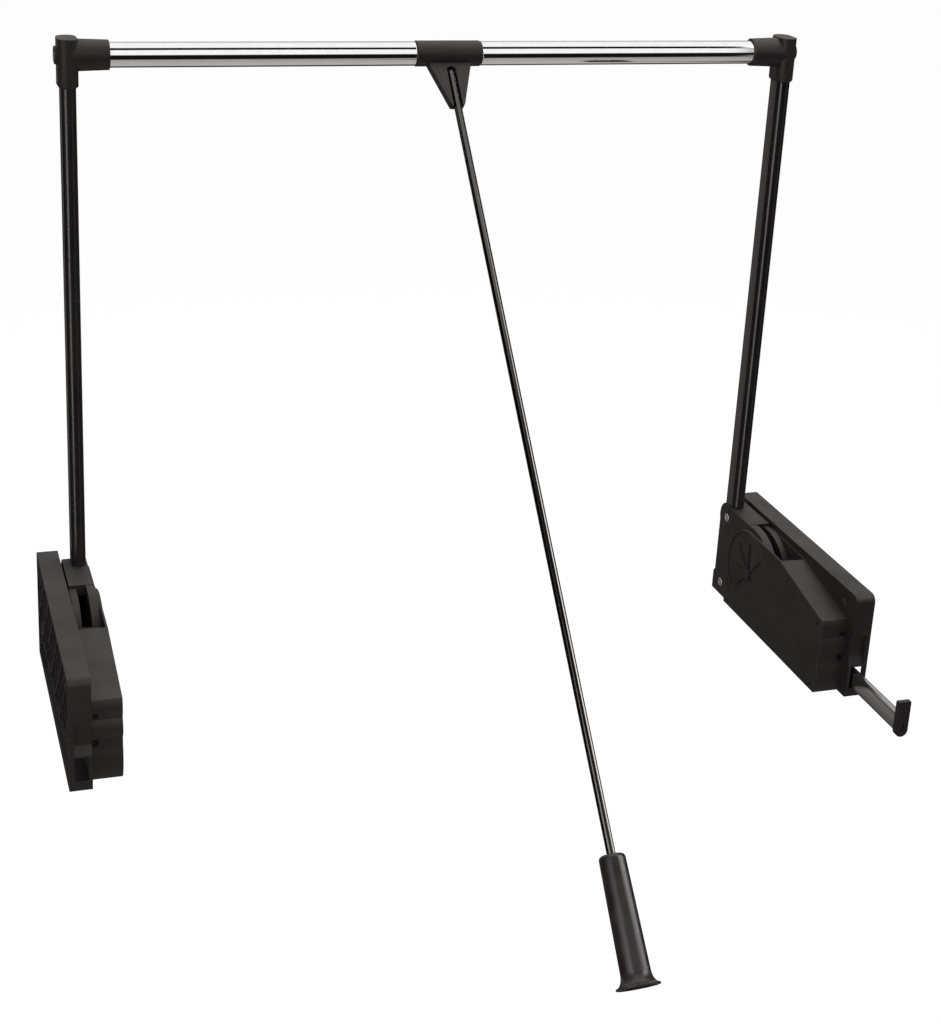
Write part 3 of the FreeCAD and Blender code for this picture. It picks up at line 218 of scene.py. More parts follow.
@dataclass(frozen=True)
class Pattern:
    """Noise in the object's own space.

    Attributes:
        size_mm: Size of its clouds.
        detail: How many finer layers it has.
        roughness: How strong each finer layer is.
        squeeze: Scale along each axis. Under 1, the clouds are drawn out along it.
    """

    size_mm: float
    detail: float
    roughness: float = 0.5
    squeeze: tuple[float, float, float] | None = None

    def add(self, tree: Tree, where: Socket) -> Socket:
        """Adds the noise to a tree.

        Args:
            tree: The node tree.
            where: The coordinates.

        Returns:
            The noise, from 0 to 1.
        """
        if self.squeeze:
            mapping = add_node(tree, "ShaderNodeMapping", inputs={"Vector": where, "Scale": self.squeeze})
            where = mapping.outputs["Vector"]
        noise = add_node(tree, "ShaderNodeTexNoise", inputs={
            "Vector": where, "Scale": 1 / (self.size_mm * MM), "Detail": self.detail,
            "Roughness": self.roughness})
        return noise.outputs["Fac"]


@dataclass(frozen=True)
class Finish:
    """A real finish: one pattern varies its tone and its gloss, and one gives it relief.

    Attributes:
        name: The material's name.
        tones: Hex colours where the shading is low and where it is high.
        tone_span: The values of the shading where those are reached.
        shading: The pattern of tone and gloss.
        roughness: The roughness that the gloss varies about.
        gloss_shift: Added to the roughness where the shading is low and where it is high, or None.
        gloss_span: The values of the shading where those are reached.
        relief: The pattern of the relief, or None where it follows the shading.
        relief_strength: How much the relief tilts the surface.
        relief_mm: Height of the relief.
        metallic: 1 for bare metal, 0 for everything else.
        ior: Refractive index of a finish that isn't metal.
        specular: Strength of its highlights, 0.5 for what the refractive index gives.
    """

    name: str
    tones: tuple[str, str]
    tone_span: tuple[float, float]
    shading: Pattern
    roughness: float
    relief_strength: float
    relief_mm: float
    relief: Pattern | None = None
    gloss_shift: tuple[float, float] | None = None
    gloss_span: tuple[float, float] = (0.3, 0.7)
    metallic: float = 0.0
    ior: float = 1.5
    specular: float = 0.5

    def build(self) -> bpy.types.Material:
        """Makes the material."""
        material, tree, shader = new_material(self.name)
        where = add_node(tree, "ShaderNodeTexCoord").outputs["Object"]
        shading = self.shading.add(tree, where)
        relief = self.relief.add(tree, where) if self.relief else shading
        colour = ramp(tree, shading, list(zip(self.tone_span, self.tones)))
        tree.links.new(colour, shader.inputs["Base Color"])
        if self.gloss_shift:
            low, high = (self.roughness + shift for shift in self.gloss_shift)
            gloss = remap(tree, shading, self.gloss_span, (low, high))
            tree.links.new(gloss, shader.inputs["Roughness"])
        else:
            shader.inputs["Roughness"].default_value = self.roughness
        bump = add_node(tree, "ShaderNodeBump", inputs={
            "Height": relief, "Strength": self.relief_strength, "Distance": self.relief_mm * MM})
        tree.links.new(bump.outputs["Normal"], shader.inputs["Normal"])
        if self.metallic:
            shader.inputs["Metallic"].default_value = self.metallic
        else:
            shader.inputs["IOR"].default_value = self.ior
            shader.inputs["Specular IOR Level"].default_value = self.specular
        return material


@dataclass(frozen=True)
class MouldedNylon(Finish):
    """Glass-filled nylon from a spark-eroded mould: matte, very dark bronze, with a fine even grain.

    The grain breaks up highlights, flow marks shift the tone a little over centimetres, and handling
    polishes patches so that they catch more light.
    """

    name: str = "moulded_nylon"
    tones: tuple[str, str] = ("#312b28", "#3c3633")
    tone_span: tuple[float, float] = (0.32, 0.70)
    shading: Pattern = Pattern(size_mm=45.0, detail=4.0, roughness=0.55)
    roughness: float = 0.48
    gloss_shift: tuple[float, float] = (0.07, -0.05)
    relief: Pattern = Pattern(size_mm=0.8, detail=3.0, roughness=0.65)
    relief_strength: float = 0.24
    relief_mm: float = 0.15
    ior: float = 1.53
    specular: float = 0.28


@dataclass(frozen=True)
class PowderCoat(Finish):
    """Dark bronze powder coat on steel tube: satin, with a soft orange peel that ripples highlights."""

    name: str = "powder_coat"
    tones: tuple[str, str] = ("#26221f", "#312c29")
    tone_span: tuple[float, float] = (0.3, 0.7)
    shading: Pattern = Pattern(size_mm=70.0, detail=3.0)
    roughness: float = 0.26
    gloss_shift: tuple[float, float] = (-0.04, 0.05)
    relief: Pattern = Pattern(size_mm=2.4, detail=1.5, roughness=0.4)
    relief_strength: float = 0.06
    relief_mm: float = 0.10


@dataclass(frozen=True)
class BrightChrome(Finish):
    """Chrome plate on drawn steel tube: a near mirror, smeared here and there by handling.

    Its reflections waver slightly along the way that the tube was drawn.
    """

    name: str = "bright_chrome"
    tones: tuple[str, str] = ("#efefef", "#f8f8f8")
    tone_span: tuple[float, float] = (0.3, 0.6)
    shading: Pattern = Pattern(size_mm=9.0, detail=5.0, roughness=0.7)
    roughness: float = 0.045
    gloss_shift: tuple[float, float] = (0.0, 0.06)
    gloss_span: tuple[float, float] = (0.35, 0.8)
    relief: Pattern = Pattern(size_mm=160.0, detail=1.0, squeeze=(0.12, 1.0, 1.0))
    relief_strength: float = 0.25
    relief_mm: float = 1.2
    metallic: float = 1.0


@dataclass(frozen=True)
class DrawnChrome(Finish):
    """Chrome over drawn flat bar: reflections are smeared along fine lines that run with the bar."""

    name: str = "drawn_chrome"
    tones: tuple[str, str] = ("#aaa5a1", "#e6e3e0")
    tone_span: tuple[float, float] = (0.3, 0.7)
    shading: Pattern = Pattern(size_mm=0.8, detail=4.0, squeeze=(1.0, 0.02, 1.0))
    roughness: float = 0.22
    gloss_shift: tuple[float, float] = (-0.06, 0.06)
    gloss_span: tuple[float, float] = (0.0, 1.0)
    relief_strength: float = 0.08
    relief_mm: float = 0.05
    metallic: float = 1.0


@dataclass(frozen=True)
class TurnedSteel(Finish):
    """Steel of pins, screws, springs and rod, with fine turning marks.

    It is bright zinc plate as it stands, and a darker plate or oiled steel by its colours.
    """

    name: str = "turned_steel"
    tones: tuple[str, str] = ("#cfcfd0", "#f0f0f0")
    tone_span: tuple[float, float] = (0.35, 0.65)
    shading: Pattern = Pattern(size_mm=0.6, detail=3.0)
    roughness: float = 0.3
    relief_strength: float = 0.1
    relief_mm: float = 0.05
    metallic: float = 1.0


@dataclass(frozen=True)
class SatinPolymer(Finish):
    """Satin moulded polymer of the grip, or natural acetal and rubber by its colours."""

    name: str = "grip_polymer"
    tones: tuple[str, str] = ("#2c2523", "#3a322f")
    tone_span: tuple[float, float] = (0.3, 0.7)
    shading: Pattern = Pattern(size_mm=18.0, detail=4.0)
    roughness: float = 0.30
    gloss_shift: tuple[float, float] = (-0.04, 0.06)
    relief: Pattern = Pattern(size_mm=0.8, detail=2.0)
    relief_strength: float = 0.05
    relief_mm: float = 0.08


@dataclass
class Finishes:
    """Every finish on the object, made once."""

    nylon: bpy.types.Material = field(default_factory=lambda: MouldedNylon().build())
    coat: bpy.types.Material = field(default_factory=lambda: PowderCoat().build())
    chrome: bpy.types.Material = field(default_factory=lambda: BrightChrome().build())
    bar: bpy.types.Material = field(default_factory=lambda: DrawnChrome().build())
    steel: bpy.types.Material = field(default_factory=lambda: TurnedSteel().build())
    black_steel: bpy.types.Material = field(default_factory=lambda: TurnedSteel(
        name="blackened_steel", tones=("#2c2a29", "#4a4745"), roughness=0.36).build())
    black_nickel: bpy.types.Material = field(default_factory=lambda: TurnedSteel(
        name="black_nickel_plate", tones=("#595552", "#6b6764"), roughness=0.18,
        relief_strength=0.02).build())
    oiled: bpy.types.Material = field(default_factory=lambda: TurnedSteel(
        name="oiled_spring_steel", tones=("#4a4846", "#6c6a68"), roughness=0.38).build())
    grip: bpy.types.Material = field(default_factory=lambda: SatinPolymer().build())
    # Much darker and rougher than the grip, for the inside of the bell: the dark colour is painted shade where
    # little light reaches.
    hollow_shade_paint: bpy.types.Material = field(default_factory=lambda: SatinPolymer(
        name="hollow_painted_shade", tones=("#0e0c0b", "#151211"), roughness=0.85).build())
    acetal: bpy.types.Material = field(default_factory=lambda: SatinPolymer(
        name="natural_acetal", tones=("#cfccc0", "#dedbd0"), roughness=0.42).build())
    rubber: bpy.types.Material = field(default_factory=lambda: SatinPolymer(
        name="moulded_rubber", tones=("#141312", "#1e1c1b"), roughness=0.7).build())

    def by_slot(self) -> dict[str, bpy.types.Material]:
        """The finish of each material slot in the record."""
        return {
            "dark_moulding": self.nylon, "dark_steel": self.coat, "rail_chrome": self.chrome,
            "bar_chrome": self.bar, "grip_plastic": self.grip, "screw_steel": self.steel,
            "axle_steel": self.steel, "inner_steel": self.steel, "spring_steel": self.oiled,
            "bush_plastic": self.acetal, "stop_rubber": self.rubber}


# ---------------------------------------------------------------- surfaces


def skin(name: str, points: np.ndarray, loop: bool = False, caps: bool = False) -> bpy.types.Object:
    """Object whose mesh is a grid of rings, each joined to the next.

    Args:
        name: The piece's name.
        points: Rings of points, as an array of rings by points by three, in metres.
        loop: Whether the last ring joins the first one.
        caps: Whether the first and last rings are filled.

    Returns:
        The object, with welded points and faces turned outwards.
    """
    rings, count, _ = points.shape
    step = np.arange(rings if loop else rings - 1)
    around = np.arange(count)
    low = step[:, None] * count
    high = ((step + 1) % rings)[:, None] * count
    turn = (around + 1) % count
    quads = np.stack([low + around, low + turn, high + turn, high + around], axis=-1).reshape(-1, 4)
    faces = quads.tolist()
    if caps:
        faces.append(around[::-1].tolist())
        faces.append(((rings - 1) * count + around).tolist())
    mesh = bpy.data.meshes.new(name)
    mesh.from_pydata(points.reshape(-1, 3).tolist(), [], faces)
    finish_mesh(mesh)
    piece = bpy.data.objects.new(name, mesh)
    bpy.context.scene.collection.objects.link(piece)
    return piece


def finish_mesh(mesh: bpy.types.Mesh, weld_m: float = 1e-6, sharp_deg: float = 32.0) -> None:
    """Welds a mesh, turns its faces outwards and shades it smooth between its sharp edges."""
    shape = bmesh.new()
    shape.from_mesh(mesh)
    bmesh.ops.remove_doubles(shape, verts=shape.verts, dist=weld_m)
    bmesh.ops.recalc_face_normals(shape, faces=shape.faces)
    shape.to_mesh(mesh)
    shape.free()
    mesh.shade_smooth()
    mesh.set_sharp_from_angle(angle=math.radians(sharp_deg))


def axes_along(axis: Vector) -> tuple[np.ndarray, np.ndarray, np.ndarray]:
    """Unit axis and two unit vectors square to it."""
    along = axis.normalized()
    side = along.orthogonal().normalized()
    up = along.cross(side)
    return np.array(along), np.array(side), np.array(up)


def turned(origin: Vector, axis: Vector, profile: np.ndarray, count: int) -> np.ndarray:
    """Surface of revolution: P(u, v) = origin + h(u) axis + r(u) (cos v side + sin v up).

    Args:
        origin: Where the profile's height is 0.
        axis: The way the height runs.
        profile: Radius and height of each profile point, in metres.
        count: Points round the axis.

    Returns:
        Rings by points by three.
    """
    along, side, up = axes_along(axis)
    angle = np.linspace(0, 2 * math.pi, count, endpoint=False)
    spoke = np.cos(angle)[:, None] * side + np.sin(angle)[:, None] * up
    radius, height = profile[:, 0], profile[:, 1]
    return np.array(origin) + height[:, None, None] * along + radius[:, None, None] * spoke


def arc(centre: tuple[float, float], radius: float, start_deg: float, end_deg: float,
        count: int = 7) -> np.ndarray:
    """Profile points on an arc: (cx + r cos t, cy + r sin t) for t from start to end."""
    t = np.radians(np.linspace(start_deg, end_deg, count))
    return np.stack([centre[0] + radius * np.cos(t), centre[1] + radius * np.sin(t)], axis=-1)


def stadium(thick: float, depth: float, inset: float, count: int = 20) -> np.ndarray:
    """Flat oval ring: two half circles of radius thick/2 - inset, moved apart along the second axis.

    Args:
        thick: Size along the first axis.
        depth: Size along the second axis.
        inset: How far the ring lies inside the outer one.
        count: Points on each half circle.

    Returns:
        Points by two.
    """
    radius = thick / 2 - inset
    straight = (depth - thick) / 2
    t = np.linspace(0, math.pi, count)
    high = np.stack([radius * np.cos(t), straight + radius * np.sin(t)], axis=-1)
    return np.concatenate([high, -high])


def rounded_box(width: float, height: float, corner: float, inset: float, count: int = 8) -> np.ndarray:
    """Rectangle ring with quarter circle corners, moved in by an inset that is less than their radius.

    Args:
        width: Size along the first axis.
        height: Size along the second axis.
        corner: Radius of the corners before the ring is moved in.
        inset: How far the ring lies inside the outer one.
        count: Points on each corner.

    Returns:
        Points by two.
    """
    half_w, half_h = width / 2 - corner, height / 2 - corner
    radius = corner - inset
    quarters = []
    for k, (sx, sy) in enumerate(((1, 1), (-1, 1), (-1, -1), (1, -1))):
        t = np.radians(np.linspace(90 * k, 90 * k + 90, count))
        quarters.append(np.stack([
            sx * half_w + radius * np.cos(t), sy * half_h + radius * np.sin(t)], axis=-1))
    return np.concatenate(quarters)


def join(first: bpy.types.Object, second: bpy.types.Object) -> None:
    """Moves the second object's mesh into the first one's and removes the second."""
    shape = bmesh.new()
    shape.from_mesh(first.data)
    shape.from_mesh(second.data)
    shape.to_mesh(first.data)
    shape.free()
    bpy.data.objects.remove(second)


def place(piece: bpy.types.Object, body: str, slot: str, finish: bpy.types.Material,
          *nodes: str) -> None:
    """Dresses a piece, binds it to its body and lets it stand for CAD nodes.

    Args:
        piece: The new object.
        body: The body that it moves with.
        slot: The record's material slot; not used.
        finish: Its material.
        nodes: The CAD nodes that it replaces.
    """
    piece.data.materials.clear()
    piece.data.materials.append(finish)
    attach(piece, body)
    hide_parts(*nodes)
    LOG.info("%s rides on %s", piece.name, body)


@dataclass(frozen=True)
class Softening:
    """Turns a CAD node into a moulding: welded, with small rounded edges and smooth curved faces.

    Normals are weighted by face area, so wide flat faces stay flat beside their rounded edges.

    Attributes:
        edge_mm: Width of the rounded edges.
        edge_deg: Edges sharper than this are rounded.
        weld_m: Points nearer than this are one point.
        flat_deg: Facets that meet at less than this are one face.
        segments: Facets across each rounded edge.
        weight: How much the larger face's normal counts, from 50 for even.
    """

    edge_mm: float
    edge_deg: float = 20.0
    weld_m: float = 2e-6
    flat_deg: float = 0.6
    segments: int = 2
    weight: int = 100

    def apply(self, node: str, body: str, slot: str, finish: bpy.types.Material) -> None:
        """Makes the piece that replaces a node.

        Args:
            node: The CAD node.
            body: The body that it moves with.
            slot: The record's material slot.
            finish: Its material.
        """
        mesh = frame["nodes"][node].data.copy()
        mesh.name = node + "_moulded"
        shape = bmesh.new()
        shape.from_mesh(mesh)
        bmesh.ops.remove_doubles(shape, verts=shape.verts, dist=self.weld_m)
        bmesh.ops.dissolve_limit(
            shape, angle_limit=math.radians(self.flat_deg), verts=shape.verts, edges=shape.edges,
            delimit={"NORMAL"})
        shape.to_mesh(mesh)
        shape.free()
        mesh.shade_smooth()
        mesh.set_sharp_from_angle(angle=math.radians(self.edge_deg))
        piece = bpy.data.objects.new(node + "_moulded", mesh)
        bpy.context.scene.collection.objects.link(piece)
        round_off = piece.modifiers.new("edges", "BEVEL")
        round_off.width = self.edge_mm * MM
        round_off.segments = self.segments
        round_off.limit_method = "ANGLE"
        round_off.angle_limit = math.radians(self.edge_deg)
        round_off.use_clamp_overlap = True
        flat = piece.modifiers.new("flat_faces", "WEIGHTED_NORMAL")
        flat.mode = "FACE_AREA"
        flat.weight = self.weight
        flat.keep_sharp = True
        place(piece, body, slot, finish, node)


# ---------------------------------------------------------------- sub-assemblies


@dataclass
class SideUnit:
    """One wall unit with its spacer plate, housing, carrier, arm and corner connector."""

    side: Side
    finishes: Finishes
    case_edge: Softening = Softening(0.8)
    fine_edge: Softening = Softening(0.45)
    arm_wall: float = 1.5 * MM
    arm_rim: float = 0.5 * MM
    eyelet_radius: float = 5.0 * MM
    eyelet_barrel: float = 3.0 * MM
    eyelet_bore: float = 2.0 * MM
    eyelet_rise: float = 0.9 * MM
    eyelet_sides: int = 40
    roll_steps: int = 15
    rail_wall: float = 1.2 * MM
    rail_rim: float = 0.4 * MM
    rail_sides: int = 160

    def build(self) -> None:
        """Makes and dresses the unit's pieces."""
        unit = self.side.node("unit")
        arm = self.side.node("arm")
        nylon = self.finishes.nylon
        for name, edge, body in (
                ("spacer_plate", self.case_edge, unit), ("housing_shell", self.case_edge, unit),
                ("inner_cover", self.fine_edge, unit), ("arm_carrier", self.fine_edge, arm),
                ("corner_connector", self.fine_edge, arm)):
            edge.apply(self.side.node(name), body, "dark_moulding", nylon)
        self.arm_tube(arm)
        self.eyelets(arm)
        self.chrome_tube(arm)

    def arm_tube(self, body: str) -> None:
        """Flat oval tube: rings of the section, out along the outer wall and back along the bore."""
        node = self.side.node("arm_tube")
        low, high = (Vector(corner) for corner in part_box(node))
        centre = (low + high) / 2
        thick, depth = high.x - low.x, high.y - low.y
        rim, wall = self.arm_rim, self.arm_wall
        steps = [(rim, low.z), (0.0, low.z + rim), (0.0, high.z - rim), (rim, high.z),
                 (wall - rim, high.z), (wall, high.z - rim), (wall, low.z + rim), (wall - rim, low.z)]
        rings = []
        for inset, z in steps:
            flat = stadium(thick, depth, inset)
            height = np.full(len(flat), z)
            rings.append(np.stack([centre.x + flat[:, 0], centre.y + flat[:, 1], height], axis=-1))
        piece = skin(self.side.node("oval_arm"), np.array(rings), loop=True)
        place(piece, body, "dark_steel", self.finishes.coat, node)

    def eyelets(self, body: str) -> None:
        """Tubular rivets with a rolled head, by revolving a rounded flange about X."""
        node = self.side.node("arm_eyelets")
        low, high = (Vector(corner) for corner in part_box(node))
        inner_x = high.x if self.side is Side.LEFT else low.x
        outer_x = low.x if self.side is Side.LEFT else high.x
        length = abs(inner_x - outer_x)
        bore, head, barrel, rise = (
            self.eyelet_bore, self.eyelet_radius, self.eyelet_barrel, self.eyelet_rise)
        roll = (head - bore) / 2
        rolled = arc((0.0, 0.0), 1.0, 0, 180, self.roll_steps) * (roll, rise) + (bore + roll, length - rise)
        profile = np.concatenate([
            [[bore, 0.0], [head, 0.0], [head, rise], [barrel, rise], [barrel, length - rise]],
            rolled, [[bore, length - 2 * rise]]])
        axis = Vector((inner_x - outer_x, 0, 0))
        rings = []
        for z in (low.z + head, high.z - head):
            origin = Vector((outer_x, (low.y + high.y) / 2, z))
            rings.append(turned(origin, axis, profile, self.eyelet_sides))
        first = skin(self.side.node("rolled_eyelets"), rings[0], loop=True)
        second = skin(self.side.node("rolled_eyelets_high"), rings[1], loop=True)
        join(first, second)
        place(first, body, "screw_steel", self.finishes.steel, node)

    def chrome_tube(self, body: str) -> None:
        """Rail tube: a closed profile of outer wall, rounded rims and bore, revolved about X."""
        node = self.side.node("chrome_tube")
        low, high = (Vector(corner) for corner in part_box(node))
        radius = (high.z - low.z) / 2
        wall, rim = self.rail_wall, self.rail_rim
        length = high.x - low.x
        bore = radius - wall
        low_rim = arc((radius - rim, rim), rim, 225, 360)
        high_rim = arc((radius - rim, length - rim), rim, 0, 135)
        profile = np.concatenate([[[bore, rim]], low_rim, high_rim, [[bore, length - rim]]])
        origin = Vector((low.x, (low.y + high.y) / 2, (low.z + high.z) / 2))
        rings = turned(origin, Vector((1, 0, 0)), profile, self.rail_sides)
        piece = skin(self.side.node("rail_tube"), rings, loop=True)
        place(piece, body, "rail_chrome", self.finishes.chrome, node)


@dataclass
class PullRod:
    """The rod on the rail's centre sleeve, and its tapered grip with a bell end.

    The rod's lengths are measured from the swing pin, the grip's from its upper end. Each point of the
    hollow is its radius and its depth in from the bell's end, in millimetres.
    """

    finishes: Finishes
    sleeve_edge: Softening = Softening(0.4)
    lean_deg: float = 44.2
    pin_to_end: float = 856.0 * MM
    pin_to_grip: float = 796.0 * MM
    rod_radius: float = 4.0 * MM
    rod_chamfer: float = 0.4 * MM
    rod_sides: int = 48
    dome_steps: int = 12
    grip_length: float = 111.0 * MM
    grip_top: float = 11.8 * MM
    grip_low: float = 13.2 * MM
    grip_sides: int = 128
    shoulder: float = 4.0 * MM
    shoulder_steps: int = 10
    rim_radius: float = 19.5 * MM
    flare: float = 13.0 * MM
    flare_deg: float = 82.0
    flare_steps: int = 14
    lip: float = 1.0 * MM
    lip_start_deg: float = -80.0
    lip_steps: int = 9
    hollow_edge: float = 2.0 * MM
    hollow_mm: tuple[tuple[float, float], ...] = ((15.5, 1.6), (12.6, 4.0), (10.4, 6.2), (9.3, 8.5))
    bore_radius: float = 9.0 * MM
    bore_depth: float = 16.0 * MM

    def build(self) -> None:
        """Makes the rod and the grip along the leaning axis from the swing pin."""
        joint = next(j for j in frame["joints"] if j["name"] == "pull_rod_swing")
        pin = Vector(joint["pos_m"])
        lean = math.radians(self.lean_deg)
        down = Vector((0, -math.sin(lean), -math.cos(lean)))
        self.rod(pin, down)
        self.grip(pin, down)
        self.sleeve_edge.apply("centre_sleeve", "rail_centre", "dark_moulding", self.finishes.nylon)

    def rod(self, pin: Vector, down: Vector) -> None:
        """Plated round rod with a domed upper end: a quarter circle, then a straight side."""
        radius, end, chamfer = self.rod_radius, self.pin_to_end, self.rod_chamfer
        profile = np.concatenate([
            arc((0, 0), radius, -90, 0, self.dome_steps),
            [[radius, end - chamfer], [radius - chamfer, end], [0, end]]])
        piece = skin("plated_pull_rod", turned(pin, down, profile, self.rod_sides))
        place(piece, "pull_rod", "dark_steel", self.finishes.black_nickel, "pull_rod")

    def grip(self, pin: Vector, down: Vector) -> None:
        """Grip: rounded shoulder, straight taper, elliptical flare to a thin lip and a hollow below."""
        end = self.grip_length
        top, low, rim = self.grip_top, self.grip_low, self.rim_radius
        taper = np.array([[top, self.shoulder], [low, end - self.flare]])
        t = np.radians(np.linspace(0, self.flare_deg, self.flare_steps))
        flare = np.stack([
            low + (rim - self.lip - low) * (1 - np.cos(t)) / (1 - math.cos(t[-1])),
            end - self.flare + (self.flare - 2 * self.lip) * np.sin(t) / math.sin(t[-1])], axis=-1)
        lip = arc((rim - self.lip, end - self.lip), self.lip, self.lip_start_deg, 90, self.lip_steps)
        hollow = np.array([
            (rim - self.hollow_edge, end),
            *((radius * MM, end - depth * MM) for radius, depth in self.hollow_mm),
            (self.bore_radius, end - self.bore_depth), (0, end - self.bore_depth)])
        shoulder = arc((top - self.shoulder, self.shoulder), self.shoulder, -90, 0, self.shoulder_steps)
        profile = np.concatenate([[[0, 0]], shoulder, taper, flare, lip, hollow])
        origin = pin + down * self.pin_to_grip
        piece = skin("bell_grip", turned(origin, down, profile, self.grip_sides))
        place(piece, "pull_rod", "grip_plastic", self.finishes.grip, "grip")
        self.paint_hollow_shade(piece, origin, down)

    def paint_hollow_shade(self, piece: bpy.types.Object, origin: Vector, down: Vector) -> None:
        """Paints shade on the faces inside the bell: a much darker and rougher finish stands in for the shade that
        falls in the hollow.

        Args:
            piece: The grip.
            origin: Where the grip starts on the rod.
            down: The way from there to the bell.
        """
        # The near-black finish inside the bell is painted shade, not a colour of the grip.
        piece.data.materials.append(self.finishes.hollow_shade_paint)
        shade_index = len(piece.data.materials) - 1
        for face in piece.data.polygons:
            offset = face.center - origin
            height = offset.dot(down)
            depth = self.grip_length - height
            radius = (offset - down * height).length
            inside = radius < self.rim_radius - self.hollow_edge - depth
            in_bore = radius < self.bore_radius + self.lip and depth < self.bore_depth + self.lip
            if inside or in_bore:
                face.material_index = shade_index


@dataclass
class ValetBar:
    """The slide-out bar of the right unit and its end cap."""

    finishes: Finishes
    cap_edge: Softening = Softening(0.5)
    corner: float = 2.6 * MM
    edge: float = 0.4 * MM

    def build(self) -> None:
        """Makes the bar as rings of its section along Y, and softens the cap."""
        low, high = (Vector(corner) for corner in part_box("valet_bar"))
        centre = (low + high) / 2
        rings = []
        for inset, y in ((self.edge, low.y), (0.0, low.y + self.edge), (0.0, high.y - self.edge),
                         (self.edge, high.y)):
            flat = rounded_box(high.x - low.x, high.z - low.z, self.corner, inset)
            rings.append(np.stack([
                centre.x + flat[:, 0], np.full(len(flat), y), centre.z + flat[:, 1]], axis=-1))
        piece = skin("drawn_valet_bar", np.array(rings), caps=True)
        place(piece, "valet", "bar_chrome", self.finishes.bar, "valet_bar")
        self.cap_edge.apply("bar_cap", "valet", "dark_moulding", self.finishes.nylon)


# ---------------------------------------------------------------- studio


def on_turn(angle_deg: float) -> float:
    """Place of a band angle on a ramp over the full turn."""
    return (angle_deg + 180) / 360


@dataclass(frozen=True)
class Card:
    """White card that bright metal mirrors.

    Attributes:
        start: Band angle in degrees where it starts.
        end: Band angle in degrees where it ends.
        level: How brightly it glows.
        fade: Degrees over which it goes dark on both sides.
    """

    start: float
    end: float
    level: float
    fade: float = 4.0

    def stops(self) -> list[tuple[float, str]]:
        """Ramp stops of the card, dark on both sides of it."""
        degrees = [(-180, BLACK), (self.start - self.fade, BLACK), (self.start, WHITE),
                   (self.end, WHITE), (self.end + self.fade, BLACK), (180, BLACK)]
        return [(on_turn(angle), code) for angle, code in degrees]


@dataclass(frozen=True)
class Lamp:
    """Square area lamp that only lights matte surfaces and isn't seen itself.

    Attributes:
        name: The lamp's name.
        offset: Where it hangs, in metres from the middle of the object.
        aim: What it faces, in metres from the middle of the object.
        size: Length of its side in metres.
        power: Its power in watts.
    """

    name: str
    offset: tuple[float, float, float]
    aim: tuple[float, float, float]
    size: float
    power: float

    def hang(self, centre: Vector) -> None:
        """Makes the lamp.

        Args:
            centre: The middle of the object.
        """
        data = bpy.data.lights.new(self.name, "AREA")
        data.shape = "RECTANGLE"
        data.size = data.size_y = self.size
        data.energy = self.power
        lamp = bpy.data.objects.new(self.name, data)
        lamp.location = centre + Vector(self.offset)
        lamp.visible_glossy = False
        lamp.visible_camera = False
        lamp.rotation_mode = "QUATERNION"
        lamp.rotation_quaternion = (Vector(self.aim) - Vector(self.offset)).to_track_quat("-Z", "Y")
        bpy.context.scene.collection.objects.link(lamp)


@dataclass
class Floor:
    """Pale floor, low enough for the pull rod to hang free of it when the arms are down.

    Attributes:
        gap: How far it lies under the object at rest.
        size: Length of its side.
        unseen: Its colour to all light but the camera's, so that it throws little back.
        seen: Its colour to the camera.
        roughness: Its roughness.
        glow: How brightly it glows to the camera.
        glow_share: Share of the glow in what the camera sees.
    """

    gap: float = 530.0 * MM
    size: float = 24.0
    unseen: str = "#6e6e6e"
    seen: str = "#f0f0f0"
    roughness: float = 0.9
    glow: float = 1.06
    glow_share: float = 0.9

    def build(self) -> None:
        """Makes the floor under the object."""
        low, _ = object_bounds()
        half = self.size / 2
        z = low.z - self.gap
        mesh = bpy.data.meshes.new("floor")
        corners = [(-half, -half, z), (half, -half, z), (half, half, z), (-half, half, z)]
        mesh.from_pydata(corners, [], [(0, 1, 2, 3)])
        piece = bpy.data.objects.new("floor", mesh)
        bpy.context.scene.collection.objects.link(piece)
        mesh.materials.append(self.surface())
        piece.visible_glossy = False
        piece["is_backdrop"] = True

    def surface(self) -> bpy.types.Material:
        """Matte floor paint that glows to the camera."""
        material, tree, shader = new_material("studio_floor")
        shader.inputs["Roughness"].default_value = self.roughness
        camera_ray = add_node(tree, "ShaderNodeLightPath").outputs["Is Camera Ray"]
        pale = ramp(tree, camera_ray, [(0.0, self.unseen), (1.0, self.seen)])
        tree.links.new(pale, shader.inputs["Base Color"])
        share = compute(tree, "MULTIPLY", camera_ray, self.glow_share)
        glow = add_node(tree, "ShaderNodeEmission", inputs={"Color": linear(WHITE), "Strength": self.glow})
        mixed = mix_shaders(tree, share, shader.outputs["BSDF"], glow.outputs["Emission"])
        output = next(n for n in tree.nodes if n.type == "OUTPUT_MATERIAL")
        tree.links.new(mixed, output.inputs["Surface"])
        return material


